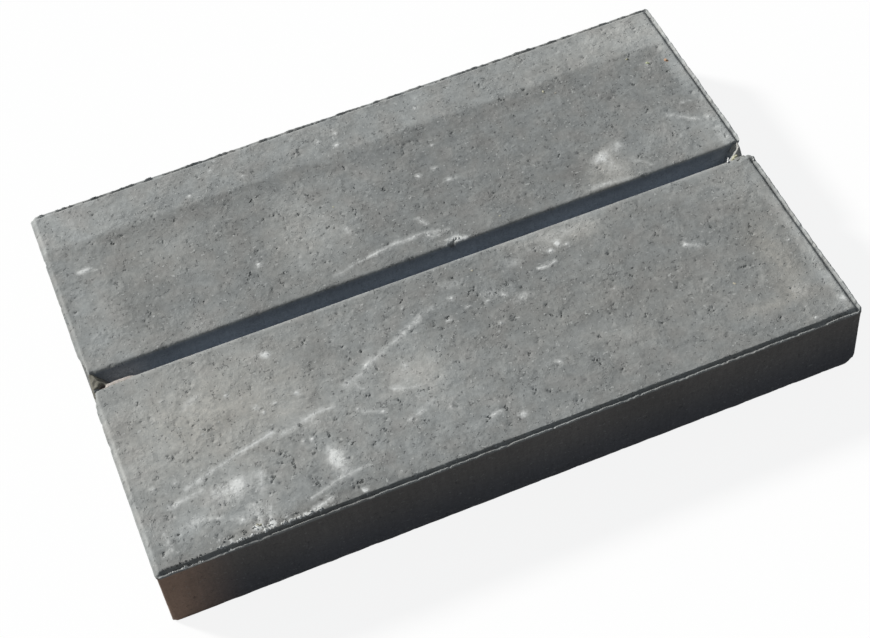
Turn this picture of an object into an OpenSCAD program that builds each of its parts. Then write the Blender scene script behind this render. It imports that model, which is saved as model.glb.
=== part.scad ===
// Wall coping stone: one dry-pressed concrete slab with bevelled top edges and one
// lengthwise splitting groove. Length runs along X, width along Y, and the bed face
// lies at Z = 0 with the origin at its centre.

/* [Stone] */
// Length of the stone, between its two joint faces
stone_length = 600; // [300:10:1000]
// Width of the stone, across the wall
stone_width = 400; // [200:10:600]
// Height of the stone, from its bed to its top face
stone_height = 70; // [50:5:120]
// Radius of the four upright corners
corner_radius = 3; // [1:0.5:5]

/* [Top edge] */
// Width of the bevel round the top face
bevel_width = 2.5; // [1:0.5:8]
// Drop of the bevel, from the top face to its foot
bevel_drop = 2.5; // [1:0.5:8]
// Thickness of the moulding fin that stands outside the bevel's foot
fin_thickness = 2; // [1.5:0.25:4]
// Height of the moulding fin above the bevel's foot
fin_height = 1.5; // [0.5:0.25:3]

/* [Groove] */
// Width of the splitting groove at the top face
groove_width = 17; // [16:1:30]
// Depth of the groove, from the top face to its floor
groove_depth = 25; // [12:1:35]
// Radius of the groove's round floor
groove_floor_radius = 4.5; // [3:0.5:6]
// Size of the small bevel along the groove's two upper edges
groove_arris = 0.75; // [0.5:0.25:1.5]

/* [Hidden] */
$fn = 96;

concrete_grey = [0.42, 0.43, 0.43];

// Height of the bevel's foot, where the upright sides end
bevel_foot = stone_height - bevel_drop;

// How far a cutter runs past the faces that it cuts
cut_past = 10;

// The groove's wall runs straight from the foot of the arris to the widest point of the
// round floor, and a little further inside the round, so that the two join cleanly
wall_top_y = groove_width / 2 - groove_arris;
floor_centre_depth = groove_depth - groove_floor_radius;
wall_lean = atan((wall_top_y - groove_floor_radius) / (floor_centre_depth - groove_arris));
wall_overlap = groove_floor_radius * sin(wall_lean);
wall_foot_depth = floor_centre_depth + wall_overlap;
wall_foot_y = groove_floor_radius - wall_overlap * tan(wall_lean);

// The bevel's foot is a plain rectangle inside the fin, so its corners have to lie
// within the rounded corners of the plan
foot_length = stone_length - 2 * fin_thickness;
foot_width = stone_width - 2 * fin_thickness;

// Plan of the stone, with its corners rounded
module plan() {
    corner_x = stone_length / 2 - corner_radius;
    corner_y = stone_width / 2 - corner_radius;
    square([2 * corner_x, stone_width], center = true);
    square([stone_length, 2 * corner_y], center = true);
    for (x = [-corner_x, corner_x], y = [-corner_y, corner_y])
        translate([x, y])
            circle(r = corner_radius);
}

// Section of the bevelled part across one pair of sides, span wide at its foot
module bevel_section(span) {
    polygon([
        [-span / 2, 0],
        [span / 2, 0],
        [span / 2 - bevel_width, bevel_drop],
        [bevel_width - span / 2, bevel_drop]
    ]);
}

// Upright sides, from the bed to the bevel's foot
module block() {
    linear_extrude(height = bevel_foot)
        plan();
}

// Rough fin that follows the plan's outline, outside the bevel's foot
module moulding_fin() {
    translate([0, 0, bevel_foot])
        linear_extrude(height = fin_height)
            difference() {
                plan();
                square([foot_length, foot_width], center = true);
            }
}

// Bevelled top, from the bevel's foot to the top face
module bevelled_top() {
    translate([0, 0, bevel_foot])
        intersection() {
            rotate([90, 0, 0])
                linear_extrude(height = foot_width, center = true)
                    bevel_section(foot_length);
            rotate([90, 0, 90])
                linear_extrude(height = foot_length, center = true)
                    bevel_section(foot_width);
        }
}

// Section of the groove, with the top face at height 0
module groove_section() {
    top_y = groove_width / 2;
    polygon([
        [-top_y - cut_past, cut_past],
        [-top_y, 0],
        [-wall_top_y, -groove_arris],
        [-wall_foot_y, -wall_foot_depth],
        [wall_foot_y, -wall_foot_depth],
        [wall_top_y, -groove_arris],
        [top_y, 0],
        [top_y + cut_past, cut_past]
    ]);
    translate([0, -floor_centre_depth])
        circle(r = groove_floor_radius);
}

// Cutter for the splitting groove, open through both ends
module groove() {
    translate([0, 0, stone_height])
        rotate([90, 0, 90])
            linear_extrude(height = stone_length + 2 * cut_past, center = true)
                groove_section();
}

module coping_stone() {
    color(concrete_grey)
        difference() {
            union() {
                block();
                moulding_fin();
                bevelled_top();
            }
            groove();
        }
}

coping_stone();
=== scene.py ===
import math

import bpy
import numpy as np
from mathutils import Euler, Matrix, Vector, kdtree, noise
from mathutils.geometry import delaunay_2d_cdt


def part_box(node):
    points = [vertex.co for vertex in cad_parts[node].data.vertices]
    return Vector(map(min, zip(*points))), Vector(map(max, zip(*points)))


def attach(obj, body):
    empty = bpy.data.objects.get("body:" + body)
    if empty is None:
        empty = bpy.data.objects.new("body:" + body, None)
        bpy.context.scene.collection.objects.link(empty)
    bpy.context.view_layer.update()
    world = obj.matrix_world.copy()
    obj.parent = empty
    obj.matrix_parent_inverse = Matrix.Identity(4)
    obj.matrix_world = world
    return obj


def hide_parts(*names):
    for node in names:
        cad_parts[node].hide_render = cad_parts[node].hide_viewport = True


# Dressing of a dry-pressed concrete coping stone. Sizes in the dictionaries are
# millimetres in the stone's own frame: X along it, Y across it, Z up from its bed.

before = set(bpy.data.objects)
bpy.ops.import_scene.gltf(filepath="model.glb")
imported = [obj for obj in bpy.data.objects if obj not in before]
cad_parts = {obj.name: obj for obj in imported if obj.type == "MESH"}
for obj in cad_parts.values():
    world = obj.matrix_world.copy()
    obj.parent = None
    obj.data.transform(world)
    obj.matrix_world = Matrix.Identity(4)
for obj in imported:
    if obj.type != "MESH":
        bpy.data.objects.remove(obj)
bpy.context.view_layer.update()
_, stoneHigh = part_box("coping_stone")

mm = 0.001
halfLength = stoneHigh[0] / mm
halfWidth = stoneHigh[1] / mm
topFace = stoneHigh[2] / mm
scene = bpy.context.scene


def smoothStep(low, high, value):
    part = np.clip((value - low) / (high - low), 0.0, 1.0)
    return part * part * (3.0 - 2.0 * part)


def noiseAt(points, wavelength, seed):
    # Perlin noise of about -0.5 to 0.5, one value for each row of points
    shift = Vector((seed * 17.3, seed * 5.1, seed * 9.7))
    return np.array([noise.noise(Vector(p) / wavelength + shift) for p in points.tolist()])


def lineNoise(distance, wavelength, seed):
    zero = np.zeros(len(distance))
    return noiseAt(np.column_stack([distance, zero, zero]), wavelength, seed)


def addPiece(name, mesh):
    piece = bpy.data.objects.new(name, mesh)
    scene.collection.objects.link(piece)
    return piece


def addLayer(mesh, name, values, kind="FLOAT"):
    # One value, or one colour, for each point of a mesh
    layer = mesh.attributes.new(name, kind, "POINT")
    key = "value" if kind == "FLOAT" else "color"
    layer.data.foreach_set(key, np.asarray(values, np.float32).ravel())


# Node helpers

def put(tree, kind, inputs=None, **settings):
    made = tree.nodes.new(kind)
    for name, value in settings.items():
        setattr(made, name, value)
    for name, value in (inputs or {}).items():
        if isinstance(value, bpy.types.NodeSocket):
            tree.links.new(value, made.inputs[name])
        else:
            made.inputs[name].default_value = value
    return made


def maths(tree, operation, first, second=0.0, clamp=False):
    made = put(tree, "ShaderNodeMath", {0: first, 1: second}, operation=operation, use_clamp=clamp)
    return made.outputs[0]


def scaled(tree, vector, factor):
    made = put(tree, "ShaderNodeVectorMath", {0: vector, "Scale": factor}, operation="SCALE")
    return made.outputs[0]


def spanned(tree, value, low, high, toLow=0.0, toHigh=1.0, smooth=False):
    kind = "SMOOTHSTEP" if smooth else "LINEAR"
    ranges = {"Value": value, "From Min": low, "From Max": high, "To Min": toLow, "To Max": toHigh}
    return put(tree, "ShaderNodeMapRange", ranges, interpolation_type=kind).outputs[0]


def grain(tree, place, size, detail=2.0, rough=0.5):
    # Noise whose features are about size millimetres across
    inputs = {"Vector": place, "Scale": 1000.0 / size, "Detail": detail, "Roughness": rough}
    return put(tree, "ShaderNodeTexNoise", inputs).outputs["Fac"]


def moved(tree, place, location):
    # The same place read elsewhere, so that two noises don't follow each other
    return put(tree, "ShaderNodeMapping", {"Vector": place, "Location": location}).outputs[0]


def weighted(tree, *sources):
    # Sum of each source times the weight beside it
    total = None
    for source, weight in sources:
        part = maths(tree, "MULTIPLY", source, weight)
        total = part if total is None else maths(tree, "ADD", total, part)
    return total


def mixed(tree, amount, first, second, blend="MIX"):
    mix = put(tree, "ShaderNodeMix", data_type="RGBA", blend_type=blend)
    for socket, value in ((mix.inputs[0], amount), (mix.inputs[6], first), (mix.inputs[7], second)):
        if isinstance(value, bpy.types.NodeSocket):
            tree.links.new(value, socket)
        else:
            socket.default_value = value
    return mix.outputs[2]


def shaded(tree, colour, value):
    grey = put(tree, "ShaderNodeCombineColor", {0: value, 1: value, 2: value}).outputs[0]
    return mixed(tree, 1.0, colour, grey, "MULTIPLY")


def varied(tree, value, *sources):
    # Multiplies a value by each noise, spread evenly about 1 by the amount beside it
    for source, amount in sources:
        change = spanned(tree, source, 0.2, 0.8, 1 - amount / 2, 1 + amount / 2)
        value = maths(tree, "MULTIPLY", value, change)
    return value


def newPaint(name):
    paint = bpy.data.materials.new(name)
    paint.use_nodes = True
    paint.node_tree.nodes.clear()
    return paint, paint.node_tree


# Camera, light and floor

camera = {
    "place": (-0.2760, -0.9729, 1.2607),
    "aim": (-0.0101, -0.0339, 0.035),
    "roll": -7.563,
    "lens": 76.49,
}

sun = {
    "towards": (-0.60, 0.60, 0.53),
    "strength": 4.6,
    "spread": 9.0,
    "colour": (1.0, 0.985, 0.955),
}

sky = {"colour": (0.84, 0.92, 1.0), "strength": 0.24}

floor = {
    "half": 9.0,            # metres from its middle to its sides
    "level": -0.0002,
    "albedo": 0.34,         # how much light it throws back on the stone
    "shown": 0.88,          # share that glows by itself for the camera, so the shadow is faint
    "matt": 0.96,           # how pale the rest of it is for the camera
}


def addCamera():
    data = bpy.data.cameras.new("camera")
    data.lens = camera["lens"]
    data.sensor_width = 36.0
    data.clip_start = 0.01
    data.clip_end = 60.0
    eye = bpy.data.objects.new("camera", data)
    eye.location = camera["place"]
    gaze = Vector(camera["aim"]) - Vector(camera["place"])
    facing = gaze.to_track_quat("-Z", "Y").to_matrix()
    roll = Euler((0, 0, math.radians(camera["roll"]))).to_matrix()
    eye.rotation_euler = (facing @ roll).to_euler()
    scene.collection.objects.link(eye)
    scene.camera = eye


def addSun():
    data = bpy.data.lights.new("key", "SUN")
    data.energy = sun["strength"]
    data.angle = math.radians(sun["spread"])
    data.color = sun["colour"]
    lamp = bpy.data.objects.new("key", data)
    lamp.rotation_euler = Vector(sun["towards"]).to_track_quat("Z", "Y").to_euler()
    scene.collection.objects.link(lamp)


def seenDirectly(tree):
    # 1 for rays that show the backdrop: from the camera, off a mirror or through glass
    path = put(tree, "ShaderNodeLightPath").outputs
    most = path["Is Camera Ray"]
    for name in ["Is Glossy Ray", "Is Transmission Ray"]:
        most = maths(tree, "MAXIMUM", most, path[name])
    return most


def addSky():
    world = bpy.data.worlds.new("sky")
    world.use_nodes = True
    tree = world.node_tree
    tree.nodes.clear()
    light = put(tree, "ShaderNodeBackground", {"Color": (*sky["colour"], 1), "Strength": sky["strength"]})
    white = put(tree, "ShaderNodeBackground", {"Color": (1, 1, 1, 1)})
    pick = put(tree, "ShaderNodeMixShader", {
        0: seenDirectly(tree), 1: light.outputs[0], 2: white.outputs[0]})
    put(tree, "ShaderNodeOutputWorld", {0: pick.outputs[0]})
    scene.world = world


def addFloor():
    half, level = floor["half"], floor["level"]
    mesh = bpy.data.meshes.new("floor")
    corners = [(-half, -half), (half, -half), (half, half), (-half, half)]
    mesh.from_pydata([(x, y, level) for x, y in corners], [], [(0, 1, 2, 3)])
    paint, tree = newPaint("studioFloor")
    bounce = put(tree, "ShaderNodeBsdfDiffuse", {"Color": (*[floor["albedo"]] * 3, 1)})
    matt = put(tree, "ShaderNodeBsdfDiffuse", {"Color": (*[floor["matt"]] * 3, 1)})
    glow = put(tree, "ShaderNodeEmission")
    shown = put(tree, "ShaderNodeMixShader", {
        0: floor["shown"], 1: matt.outputs[0], 2: glow.outputs[0]})
    pick = put(tree, "ShaderNodeMixShader", {
        0: seenDirectly(tree), 1: bounce.outputs[0], 2: shown.outputs[0]})
    put(tree, "ShaderNodeOutputMaterial", {0: pick.outputs[0]})
    mesh.materials.append(paint)
    ground = addPiece("floor", mesh)


scene.view_settings.view_transform = "Standard"
addCamera()
addSun()
addSky()
addFloor()
print("camera, light and floor ready")


# The groove's section and the stone's outline

groove = {
    "depth": 25.0,
    "floorRadius": 4.5,
    "farCrisp": 0.75,       # how much less rounded the far arris is
    "arrises": [(7.7, 67.9), (8.3, 68.8), (8.95, 69.25), (9.9, 69.62), (11.2, 69.88), (12.9, 70.0)],
}

outline = {
    "cornerRadii": [5.0, 3.0, 3.2, 5.0],    # back left, front left, front right, back right
    "spacing": 1.6,
    "cornerSpacing": 0.7,
}

cornerKnots = 13
cornerSides = [(-1, 1), (-1, -1), (1, -1), (1, 1)]      # in the order of cornerRadii


def grooveSection():
    # Half of the section: length along it from the middle, distance out, height
    radius = groove["floorRadius"]
    centre = topFace - groove["depth"] + radius
    turns = np.radians(np.linspace(0, 90, 10))
    section = [(radius * math.sin(turn), centre - radius * math.cos(turn)) for turn in turns]
    section += groove["arrises"] + [(halfWidth + 10, topFace)]
    out, up = np.array(section).T
    steps = np.hypot(np.diff(out), np.diff(up))
    return np.concatenate([[0.0], np.cumsum(steps)]), out, up


sectionLength, sectionOut, sectionUp = grooveSection()
arrisCount = len(groove["arrises"])
wallStart = sectionLength[-arrisCount - 2]
arrisStart = sectionLength[-arrisCount - 1]
edgeLength = sectionLength[-2]
edgeOut = sectionOut[-2]


def unroll(y):
    # Distance across the stone, measured down and up the groove's walls
    return np.sign(y) * np.interp(np.abs(y), sectionOut, sectionLength)


def rollUp(t):
    size = np.abs(t)
    out = np.interp(size, sectionLength, sectionOut)
    return np.sign(t) * out, np.interp(size, sectionLength, sectionUp)


def outlineKnots():
    # Anticlockwise from the middle of the back: x, y and the outward direction in degrees
    knots = [(0.0, halfWidth, 90.0)]
    for index, (sideX, sideY) in enumerate(cornerSides):
        radius = outline["cornerRadii"][index]
        centreX = sideX * (halfLength - radius)
        centreY = sideY * (halfWidth - radius)
        for turn in np.linspace(90 + 90 * index, 180 + 90 * index, cornerKnots):
            angle = math.radians(turn)
            knots.append((centreX + radius * math.cos(angle), centreY + radius * math.sin(angle), turn))
    knots.append((0.0, halfWidth, 450.0))
    table = np.array(knots)
    steps = np.hypot(np.diff(table[:, 0]), np.diff(table[:, 1]))
    return np.concatenate([[0.0], np.cumsum(steps)]), table


outlineLength, outlineTable = outlineKnots()
wholeOutline = outlineLength[-1]


def outlineAt(s):
    x = np.interp(s, outlineLength, outlineTable[:, 0])
    y = np.interp(s, outlineLength, outlineTable[:, 1])
    turn = np.radians(np.interp(s, outlineLength, outlineTable[:, 2]))
    return x, y, np.cos(turn), np.sin(turn)


def evenly(start, end, spacing):
    # Places from start up to, but not including, end
    count = max(1, round((end - start) / spacing))
    return [start + (end - start) * i / count for i in range(count)]


def outlineStations():
    # Places along the outline, following the groove's section where it cuts the ends
    gapPlaces = rollUp(np.array(evenly(-edgeLength, edgeLength, outline["spacing"])))[0]
    stations = []
    at = 0.0
    for index in range(len(cornerSides)):
        cornerStart = outlineLength[1 + cornerKnots * index]
        cornerEnd = outlineLength[cornerKnots * (index + 1)]
        if index in (1, 3):
            # An end face: its middle lies half the straight side beyond the last corner
            middle = at + halfWidth - outline["cornerRadii"][index - 1]
            stations += evenly(at, middle - edgeOut, outline["spacing"])
            stations += list(middle + gapPlaces)
            stations += evenly(middle + edgeOut, cornerStart, outline["spacing"])
        else:
            stations += evenly(at, cornerStart, outline["spacing"])
        stations += evenly(cornerStart, cornerEnd, outline["cornerSpacing"])
        at = cornerEnd
    stations += evenly(at, wholeOutline, outline["spacing"])
    return np.array(stations)


# The moulded rim: a bevel round the top face and a rough fin outside its foot. On each
# side: distances in from the side of the fin's two faces, the bevel's foot and its top
# edge, the fin's height above the foot, its roughness, how far it leans out over the
# side, how much lower the bevel's foot lies, the painted light and shade on the bevel and
# on the fin (darker where that side lies in shade, lighter where light catches it), and
# the stretches where the fin has broken off, or where the bevel is filled up.

bevelDrop = 2.5                         # how far below the face the bevel's foot lies
rimFoot = topFace - bevelDrop
leanFrom, leanWhole = 63.6, 66.6        # heights at which a rim starts to lean, and leans in full

rims = {
    "front": {
        "axis": 1, "sign": -1, "fin": (0.0, 1.6), "foot": 1.65, "edge": 3.4,
        "height": 1.25, "rough": 0.2, "lean": 0.85, "seed": 3, "drop": 0.6,
        "bevelPaintedLight": -0.2, "finPaintedLight": 0.16,
        "breaks": [(238, 242), (257, 267), (-62, -60), (101, 103)],
    },
    "right": {
        "axis": 0, "sign": 1, "fin": (0.0, 1.9), "foot": 2.7, "edge": 5.5,
        "height": 1.2, "rough": 0.7, "lean": 0.55, "seed": 5, "drop": 0.1,
        "bevelPaintedLight": -0.36, "finPaintedLight": 0.36, "filled": (-14.5, -5.0),
        "breaks": [(-103, -98), (-128, -126), (61, 63), (150, 153)],
    },
    "back": {
        "axis": 1, "sign": 1, "fin": (0.5, 2.0), "foot": 2.6, "edge": 5.4,
        "height": 1.15, "rough": 0.7, "lean": 0.0, "seed": 8, "drop": 0.0,
        "bevelPaintedLight": 0.0, "finPaintedLight": 0.0,
        "breaks": [
            (-302, -294), (-288, -278), (-260, -253), (-231, -226), (-188, -181), (-110, -105),
            (-95, -88), (-67, -61), (-22, -18), (30, 36), (72, 91), (137, 142), (207, 211), (223, 230),
        ],
    },
    "left": {
        "axis": 0, "sign": -1, "fin": (0.0, 1.0), "foot": 1.0, "edge": 3.6,
        "height": 0.12, "rough": 0.07, "lean": 0.95, "seed": 11, "drop": 0.0,
        "bevelPaintedLight": 0.15, "finPaintedLight": 0.6,
        "breaks": [(-46, -42), (-71, -66), (-30, -26), (88, 91), (140, 146)],
    },
}


def sideDistance(rim, x, y):
    # How far in from the side, and the place along it
    across, along = (x, y) if rim["axis"] == 0 else (y, x)
    reach = halfLength if rim["axis"] == 0 else halfWidth
    return reach - rim["sign"] * across, along


def unbroken(rim, along):
    whole = np.ones(len(along))
    for start, end in rim["breaks"]:
        begun = smoothStep(start - 0.9, start + 0.9, along)
        whole *= 1 - begun * (1 - smoothStep(end - 0.9, end + 0.9, along))
    return whole


def rimHeight(x, y):
    bevel = np.full(len(x), topFace)
    fin = np.full(len(x), -1.0)
    for rim in rims.values():
        distance, along = sideDistance(rim, x, y)
        near = distance < 9
        if not near.any():
            continue
        d, a = distance[near], along[near]
        seed = rim["seed"]
        wander = 0.5 * lineNoise(a, 34, seed) + 0.5 * lineNoise(a, 5.5, seed + 1)
        edge = rim["edge"] + wander * 1.1
        foot = rim["foot"] + wander * 0.4
        slope = np.clip((d - foot) / (edge - foot), 0, 1)
        low = rimFoot - rim["drop"]
        start, end = rim.get("filled", (0, 0))
        slope = np.maximum(slope, smoothStep(start - 1.5, start + 1.5, a) * (a < end))
        bevel[near] = np.minimum(bevel[near], low + (topFace - low) * slope)
        outer, inner = rim["fin"]
        place = (d - outer) / (inner - outer)
        shape = np.interp(place, [-0.35, 0.0, 0.22, 0.8, 1.0], [-0.3, 0.45, 1.0, 0.93, 0.0])
        worn = 1 + 0.9 * lineNoise(a, 13, seed + 2) + 0.7 * lineNoise(a, 3.1, seed + 3)
        height = rim["height"] * np.clip(worn, 0.25, 1.7) * unbroken(rim, a)
        grit = rim["rough"] * noiseAt(np.column_stack([x[near], y[near], y[near] * 0]), 2.3, seed + 4)
        ridge = low + height * shape + grit * (shape > 0.1)
        ridge[place > 1.0] = -1.0
        fin[near] = np.maximum(fin[near], ridge)
    return np.maximum(bevel, fin)


def rimPaintedLight(x, y):
    # Painted light and shade on the rims: each bevel and fin painted darker or lighter as light falls on its
    # side, and a painted highlight along the near arris
    tone = 0.16 * smoothStep(-13.5, -11.0, y) * (y < -8)
    for rim in rims.values():
        distance, _ = sideDistance(rim, x, y)
        foot, edge = rim["foot"], rim["edge"]
        bevel = smoothStep(foot - 0.3, foot + 0.1, distance)
        bevel = bevel * (1 - smoothStep(edge - 0.6, edge + 0.1, distance))
        fin = 1 - smoothStep(foot - 0.4, foot - 0.1, distance)
        tone += rim["bevelPaintedLight"] * bevel + rim["finPaintedLight"] * fin
    return tone


def gougeWeight(gouge, x, y):
    points, halfWide, _, _ = gouge
    path = np.array(smoothed(points, 0.8))
    near = np.abs(np.column_stack([x, y]) - path.mean(axis=0)).max(axis=1) < 14
    place = np.column_stack([x[near], y[near]])
    apart = np.linalg.norm(place[:, None] - path[None], axis=2).min(axis=1)
    rough = 1 + 0.8 * noiseAt(np.column_stack([place, place[:, 0] * 0]), 2.5, 61)
    weight = np.zeros(len(x))
    weight[near] = np.exp(-(apart / (halfWide * rough)) ** 2)
    return weight


def topSurface(x, t):
    # Unrolled place on the upper side to its point on the stone
    y, z = rollUp(t)
    z = z + groove["farCrisp"] * np.where((y > 8.6) & (y < edgeOut + 0.5), topFace - z, 0)
    z = np.minimum(z, rimHeight(x, y))
    for gouge in gouges:
        z -= gouge[2] * gougeWeight(gouge, x, y)
    return np.column_stack([x, y, z])


print("section, outline and rim ready")


# Places of the body's points, as unrolled plans: the upper side, the upright sides and
# the bed. Pores and marks get rings of points of their own, and a plain net fills up.

net = {
    "top": 3.3,
    "side": 3.4,
    "bed": 12.0,
    "grooveWall": 2.7,
    "rowRatio": 0.87,       # distance between staggered rows, of the step along them
    "clearance": 0.52,      # of the step, kept free round places already laid
    "cornerRows": (1.4, 66, 2.6),       # up the upright corners: first height, limit and step
    "belowRim": (65.4, 63.6),           # heights of two rows of points under the rim
    "seed": 4,              # of the bed's net
}
offFace = 999.0             # stands for the distance from the groove of places not on the upper side

pores = {
    "clusters": 280,        # besides those gathered below
    "clusterSpread": 2.6,
    "clustersApart": 14.0,
    "single": 420,
    "singlesApart": 5.0,
    "radius": (0.6, 1.8),
    "gatheredSize": 1.25,   # of the others' size
    "depth": 0.34,          # of the radius
    "notable": [            # x, y, radius of pores that stand out
        (-17, -172, 1.7), (-14, -170.6, 1.4), (0, -169, 1.6), (-74, -126, 1.6), (-95, -146, 1.5),
        (-62, -152, 1.5), (28, -162, 1.6), (84, -156, 1.7), (100, -174, 1.4), (78, -102, 1.5),
        (-106, -156, 1.4), (-95, -110, 1.4), (-83, 98, 1.6), (-6.5, 93, 1.9), (-115, 131, 1.6),
        (-109, 134, 1.4), (-98, 105, 1.3), (-113, 105, 1.4), (-27, 134, 1.5), (130, 148, 1.8),
        (-141, 53, 2.0), (-241, 138, 1.6), (-37, 77, 1.4), (-18, 68, 1.4), (-66, 114, 1.4),
        (-64, 72, 1.7), (-60, 69, 1.3), (131, 148, 1.4), (67, 60, 1.3), (37, 56, 1.3),
        (28, 58, 1.2), (245, 113, 1.6), (249, 40, 1.7), (182, 52, 1.3), (122, 62, 1.2),
        (-269, -38, 1.5), (-125, -35, 1.7), (-220, -89, 1.8), (-224, -89, 1.6), (-250, -107, 1.4),
        (-220, -104, 1.3), (-180, -142, 1.4), (-122, -148, 1.4), (-131.5, -185, 2.1),
        (-127.5, -185.5, 1.7), (12, -27, 1.5),
        (19, -47, 1.8), (22, -44, 1.4), (-37, -31, 1.5), (-8, -63, 1.5), (38, -57, 1.6),
        (21, -87, 1.4), (38, -127, 1.4), (140, -130, 1.5), (86, -156, 1.3), (0, -168, 1.5),
        (44, -106, 1.2), (234, -120, 1.9), (146, -87, 1.4), (192, -127, 1.3), (-18, -173, 1.4),
        (28, 11, 2.0), (24, 12, 1.4),
    ],
    "gathered": [           # x, y, spread and number of pores
        (-63, 72, 3.5, 9), (-65, 112, 2.5, 6), (-6, 93, 3, 6), (-26, 133, 2, 4), (-113, 105, 2, 4),
        (-83, 98, 1.6, 3), (-114, 132, 4, 7), (38, 57, 2.5, 5), (28, 131, 6, 9), (-141, 101, 2, 4),
        (-98, 86, 2.5, 4), (13, 112, 2.5, 4), (-74, -127, 3, 7), (-63, -152, 3, 7), (-95, -147, 3, 6),
        (28, -162, 4, 8), (85, -158, 3, 6), (-1, -167, 2.5, 4), (70, -98, 3, 5), (54, -147, 2.5, 4),
        (-104, -157, 3, 5), (-47, -125, 2, 4), (60, -62, 2, 4), (128, 148, 3, 5), (170, 140, 3, 5),
        (109, 88, 4, 6), (78, 44, 5, 9), (245, 114, 2.5, 5), (151, 46, 2.5, 4), (66, 60, 4, 6),
        (232, -70, 3, 5), (150, -60, 3, 5), (190, -150, 3, 5), (120, -110, 3, 4), (-120, 30, 3, 5),
        (-200, 150, 4, 6), (-60, 170, 4, 6), (120, 175, 4, 6), (-250, 90, 3, 5), (-160, -60, 3, 5),
        (-174, -136, 2.6, 6), (-172, -150, 2.0, 4), (-182, -128, 2.0, 4), (-190, -153, 3, 5),
        (-150, -141, 2.2, 5), (-125, -146, 2.2, 5), (-159, -175, 1.8, 4), (-107, -157, 2.2, 4),
        (-276, -152, 3, 5), (-273, -170, 1.6, 3), (-127, -185.5, 4, 6), (-209, -168, 2.0, 4),
        (-246, -186, 1.6, 4), (-137, -132, 2.4, 4), (-116, -118, 1.8, 3), (-220, -104, 2.0, 4),
        (-250, -107, 3.0, 6), (-185, -122, 2.4, 4), (-186, -161, 2.4, 4), (-163, -168, 2.0, 4),
        (-177, -132, 3.5, 7), (-172, -147, 4, 8), (-179, -141, 3, 5), (-154, -143, 3, 6),
        (-122, -150, 2.5, 6), (-160, -172, 3, 6), (-193, -153, 3, 4), (-214, -187, 4, 9),
        (-226, -190, 3, 6), (-193, -192, 4, 9), (-131, -186, 4, 8), (-37, -32, 2.2, 5),
        (-8, -64, 2.6, 5), (19, -47, 2.6, 5), (35, -57, 3, 5), (11, -27, 3, 6), (21, -88, 3, 6),
        (-101, -78, 3, 4), (-56, -57, 3, 5), (-96, -69, 3, 4), (-27, -91, 2.5, 3), (-12, -72, 3, 3),
        (42, -89, 3, 3), (-86, -66, 3, 3), (-141, 53, 2.5, 3), (-64, 72, 3, 5), (28, 11, 3, 4),
        (-184, -191, 5, 8), (-205, -189, 5, 8), (-237, -192, 3, 5), (-160, -192, 5, 5),
        (234, -120, 4, 6), (249, 40, 3, 4), (67, 60, 3, 4), (-241, 138, 3, 4), (131, 148, 3, 4),
    ],
    "seed": 21,
}

sidePores = {
    "count": 300,
    "radius": (0.6, 1.9),
    "depth": 0.45,
    "apart": 4.5,
    "seed": 33,
}

scratches = [       # points along the scratch, then its strength and half width
    ([(-77, 18.5), (-68, 20.5), (-60, 22.6)], 0.28, 1.8),
    ([(-62, 22.2), (-46, 25.4), (-38, 27), (-25, 28.8), (-15, 30.2), (-5, 30.2), (7, 31)], 0.54, 1.4),
    ([(8, 30.5), (16, 29), (24, 26.5), (31.5, 25)], 0.36, 1.7),
    ([(10, 30), (11, 26), (13, 23.3), (19, 22.8)], 0.40, 1.2),
    ([(10, 48), (11.2, 43.8), (14, 39)], 0.60, 1.2),
    ([(-256, -134.2), (-243, -129.2), (-224, -123.8), (-208, -118.8), (-193, -115.3), (-177, -111)],
     0.60, 1.5),
    ([(-171, -116.5), (-154, -112), (-142, -108.8), (-133, -108.4), (-124, -108)], 0.45, 1.5),
    ([(-268, -144.5), (-257, -141.3), (-246, -140.3)], 0.50, 1.8),
    ([(-110, -92.5), (-96, -88.5), (-84, -80.5), (-72, -76)], 0.34, 3.2),
    ([(-72, -76), (-60, -69.5), (-50, -65), (-41, -60), (-30, -54)], 0.40, 2.5),
    ([(-30, -54), (-24, -50.5), (-16, -50)], 0.36, 1.9),
    ([(-100, -95), (-99, -99), (-96, -102)], 0.32, 1.4),
    ([(-169, -182), (-154, -179), (-146, -175.8), (-137, -174.7), (-125, -172.4), (-116, -172)],
     0.36, 1.0),
    ([(-171, -193.5), (-162, -191), (-154, -188.5)], 0.60, 1.2),
    ([(-73, -113), (-64, -116), (-55, -118)], 0.36, 1.3),
    ([(-74, -146), (-67, -144), (-60, -142)], 0.50, 1.2),
    ([(256, 64), (263, 60), (270, 54), (278, 48)], 0.52, 1.3),
    ([(274, 72.5), (281, 72.5)], 0.40, 1.3),
    ([(82, -48), (89, -48.5), (96, -47)], 0.62, 1.2),
    ([(-17, -171.5), (-12, -170), (-6, -168.5)], 0.85, 1.2),
    ([(-104, -124), (-96, -126.5), (-89, -130)], 0.34, 1.2),
    ([(-54, -138), (-44, -133)], 0.30, 1.3),
    ([(203, 30), (212, 24), (217, 17)], 0.32, 1.4),
    ([(-212.5, -169), (-212.2, -176), (-211, -185)], 0.45, 1.3),
    ([(-200.5, -177), (-202.5, -182), (-204, -189)], 0.50, 1.3),
    ([(-197.5, -144), (-199, -150), (-202, -158)], 0.36, 1.4),
    ([(-283.5, -166), (-283, -174), (-282, -182)], 0.42, 1.4),
    ([(-224.5, -176), (-223.5, -180)], 0.50, 1.4),
    ([(-262, -168), (-252, -165.5), (-240, -170)], 0.30, 1.5),
]

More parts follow.
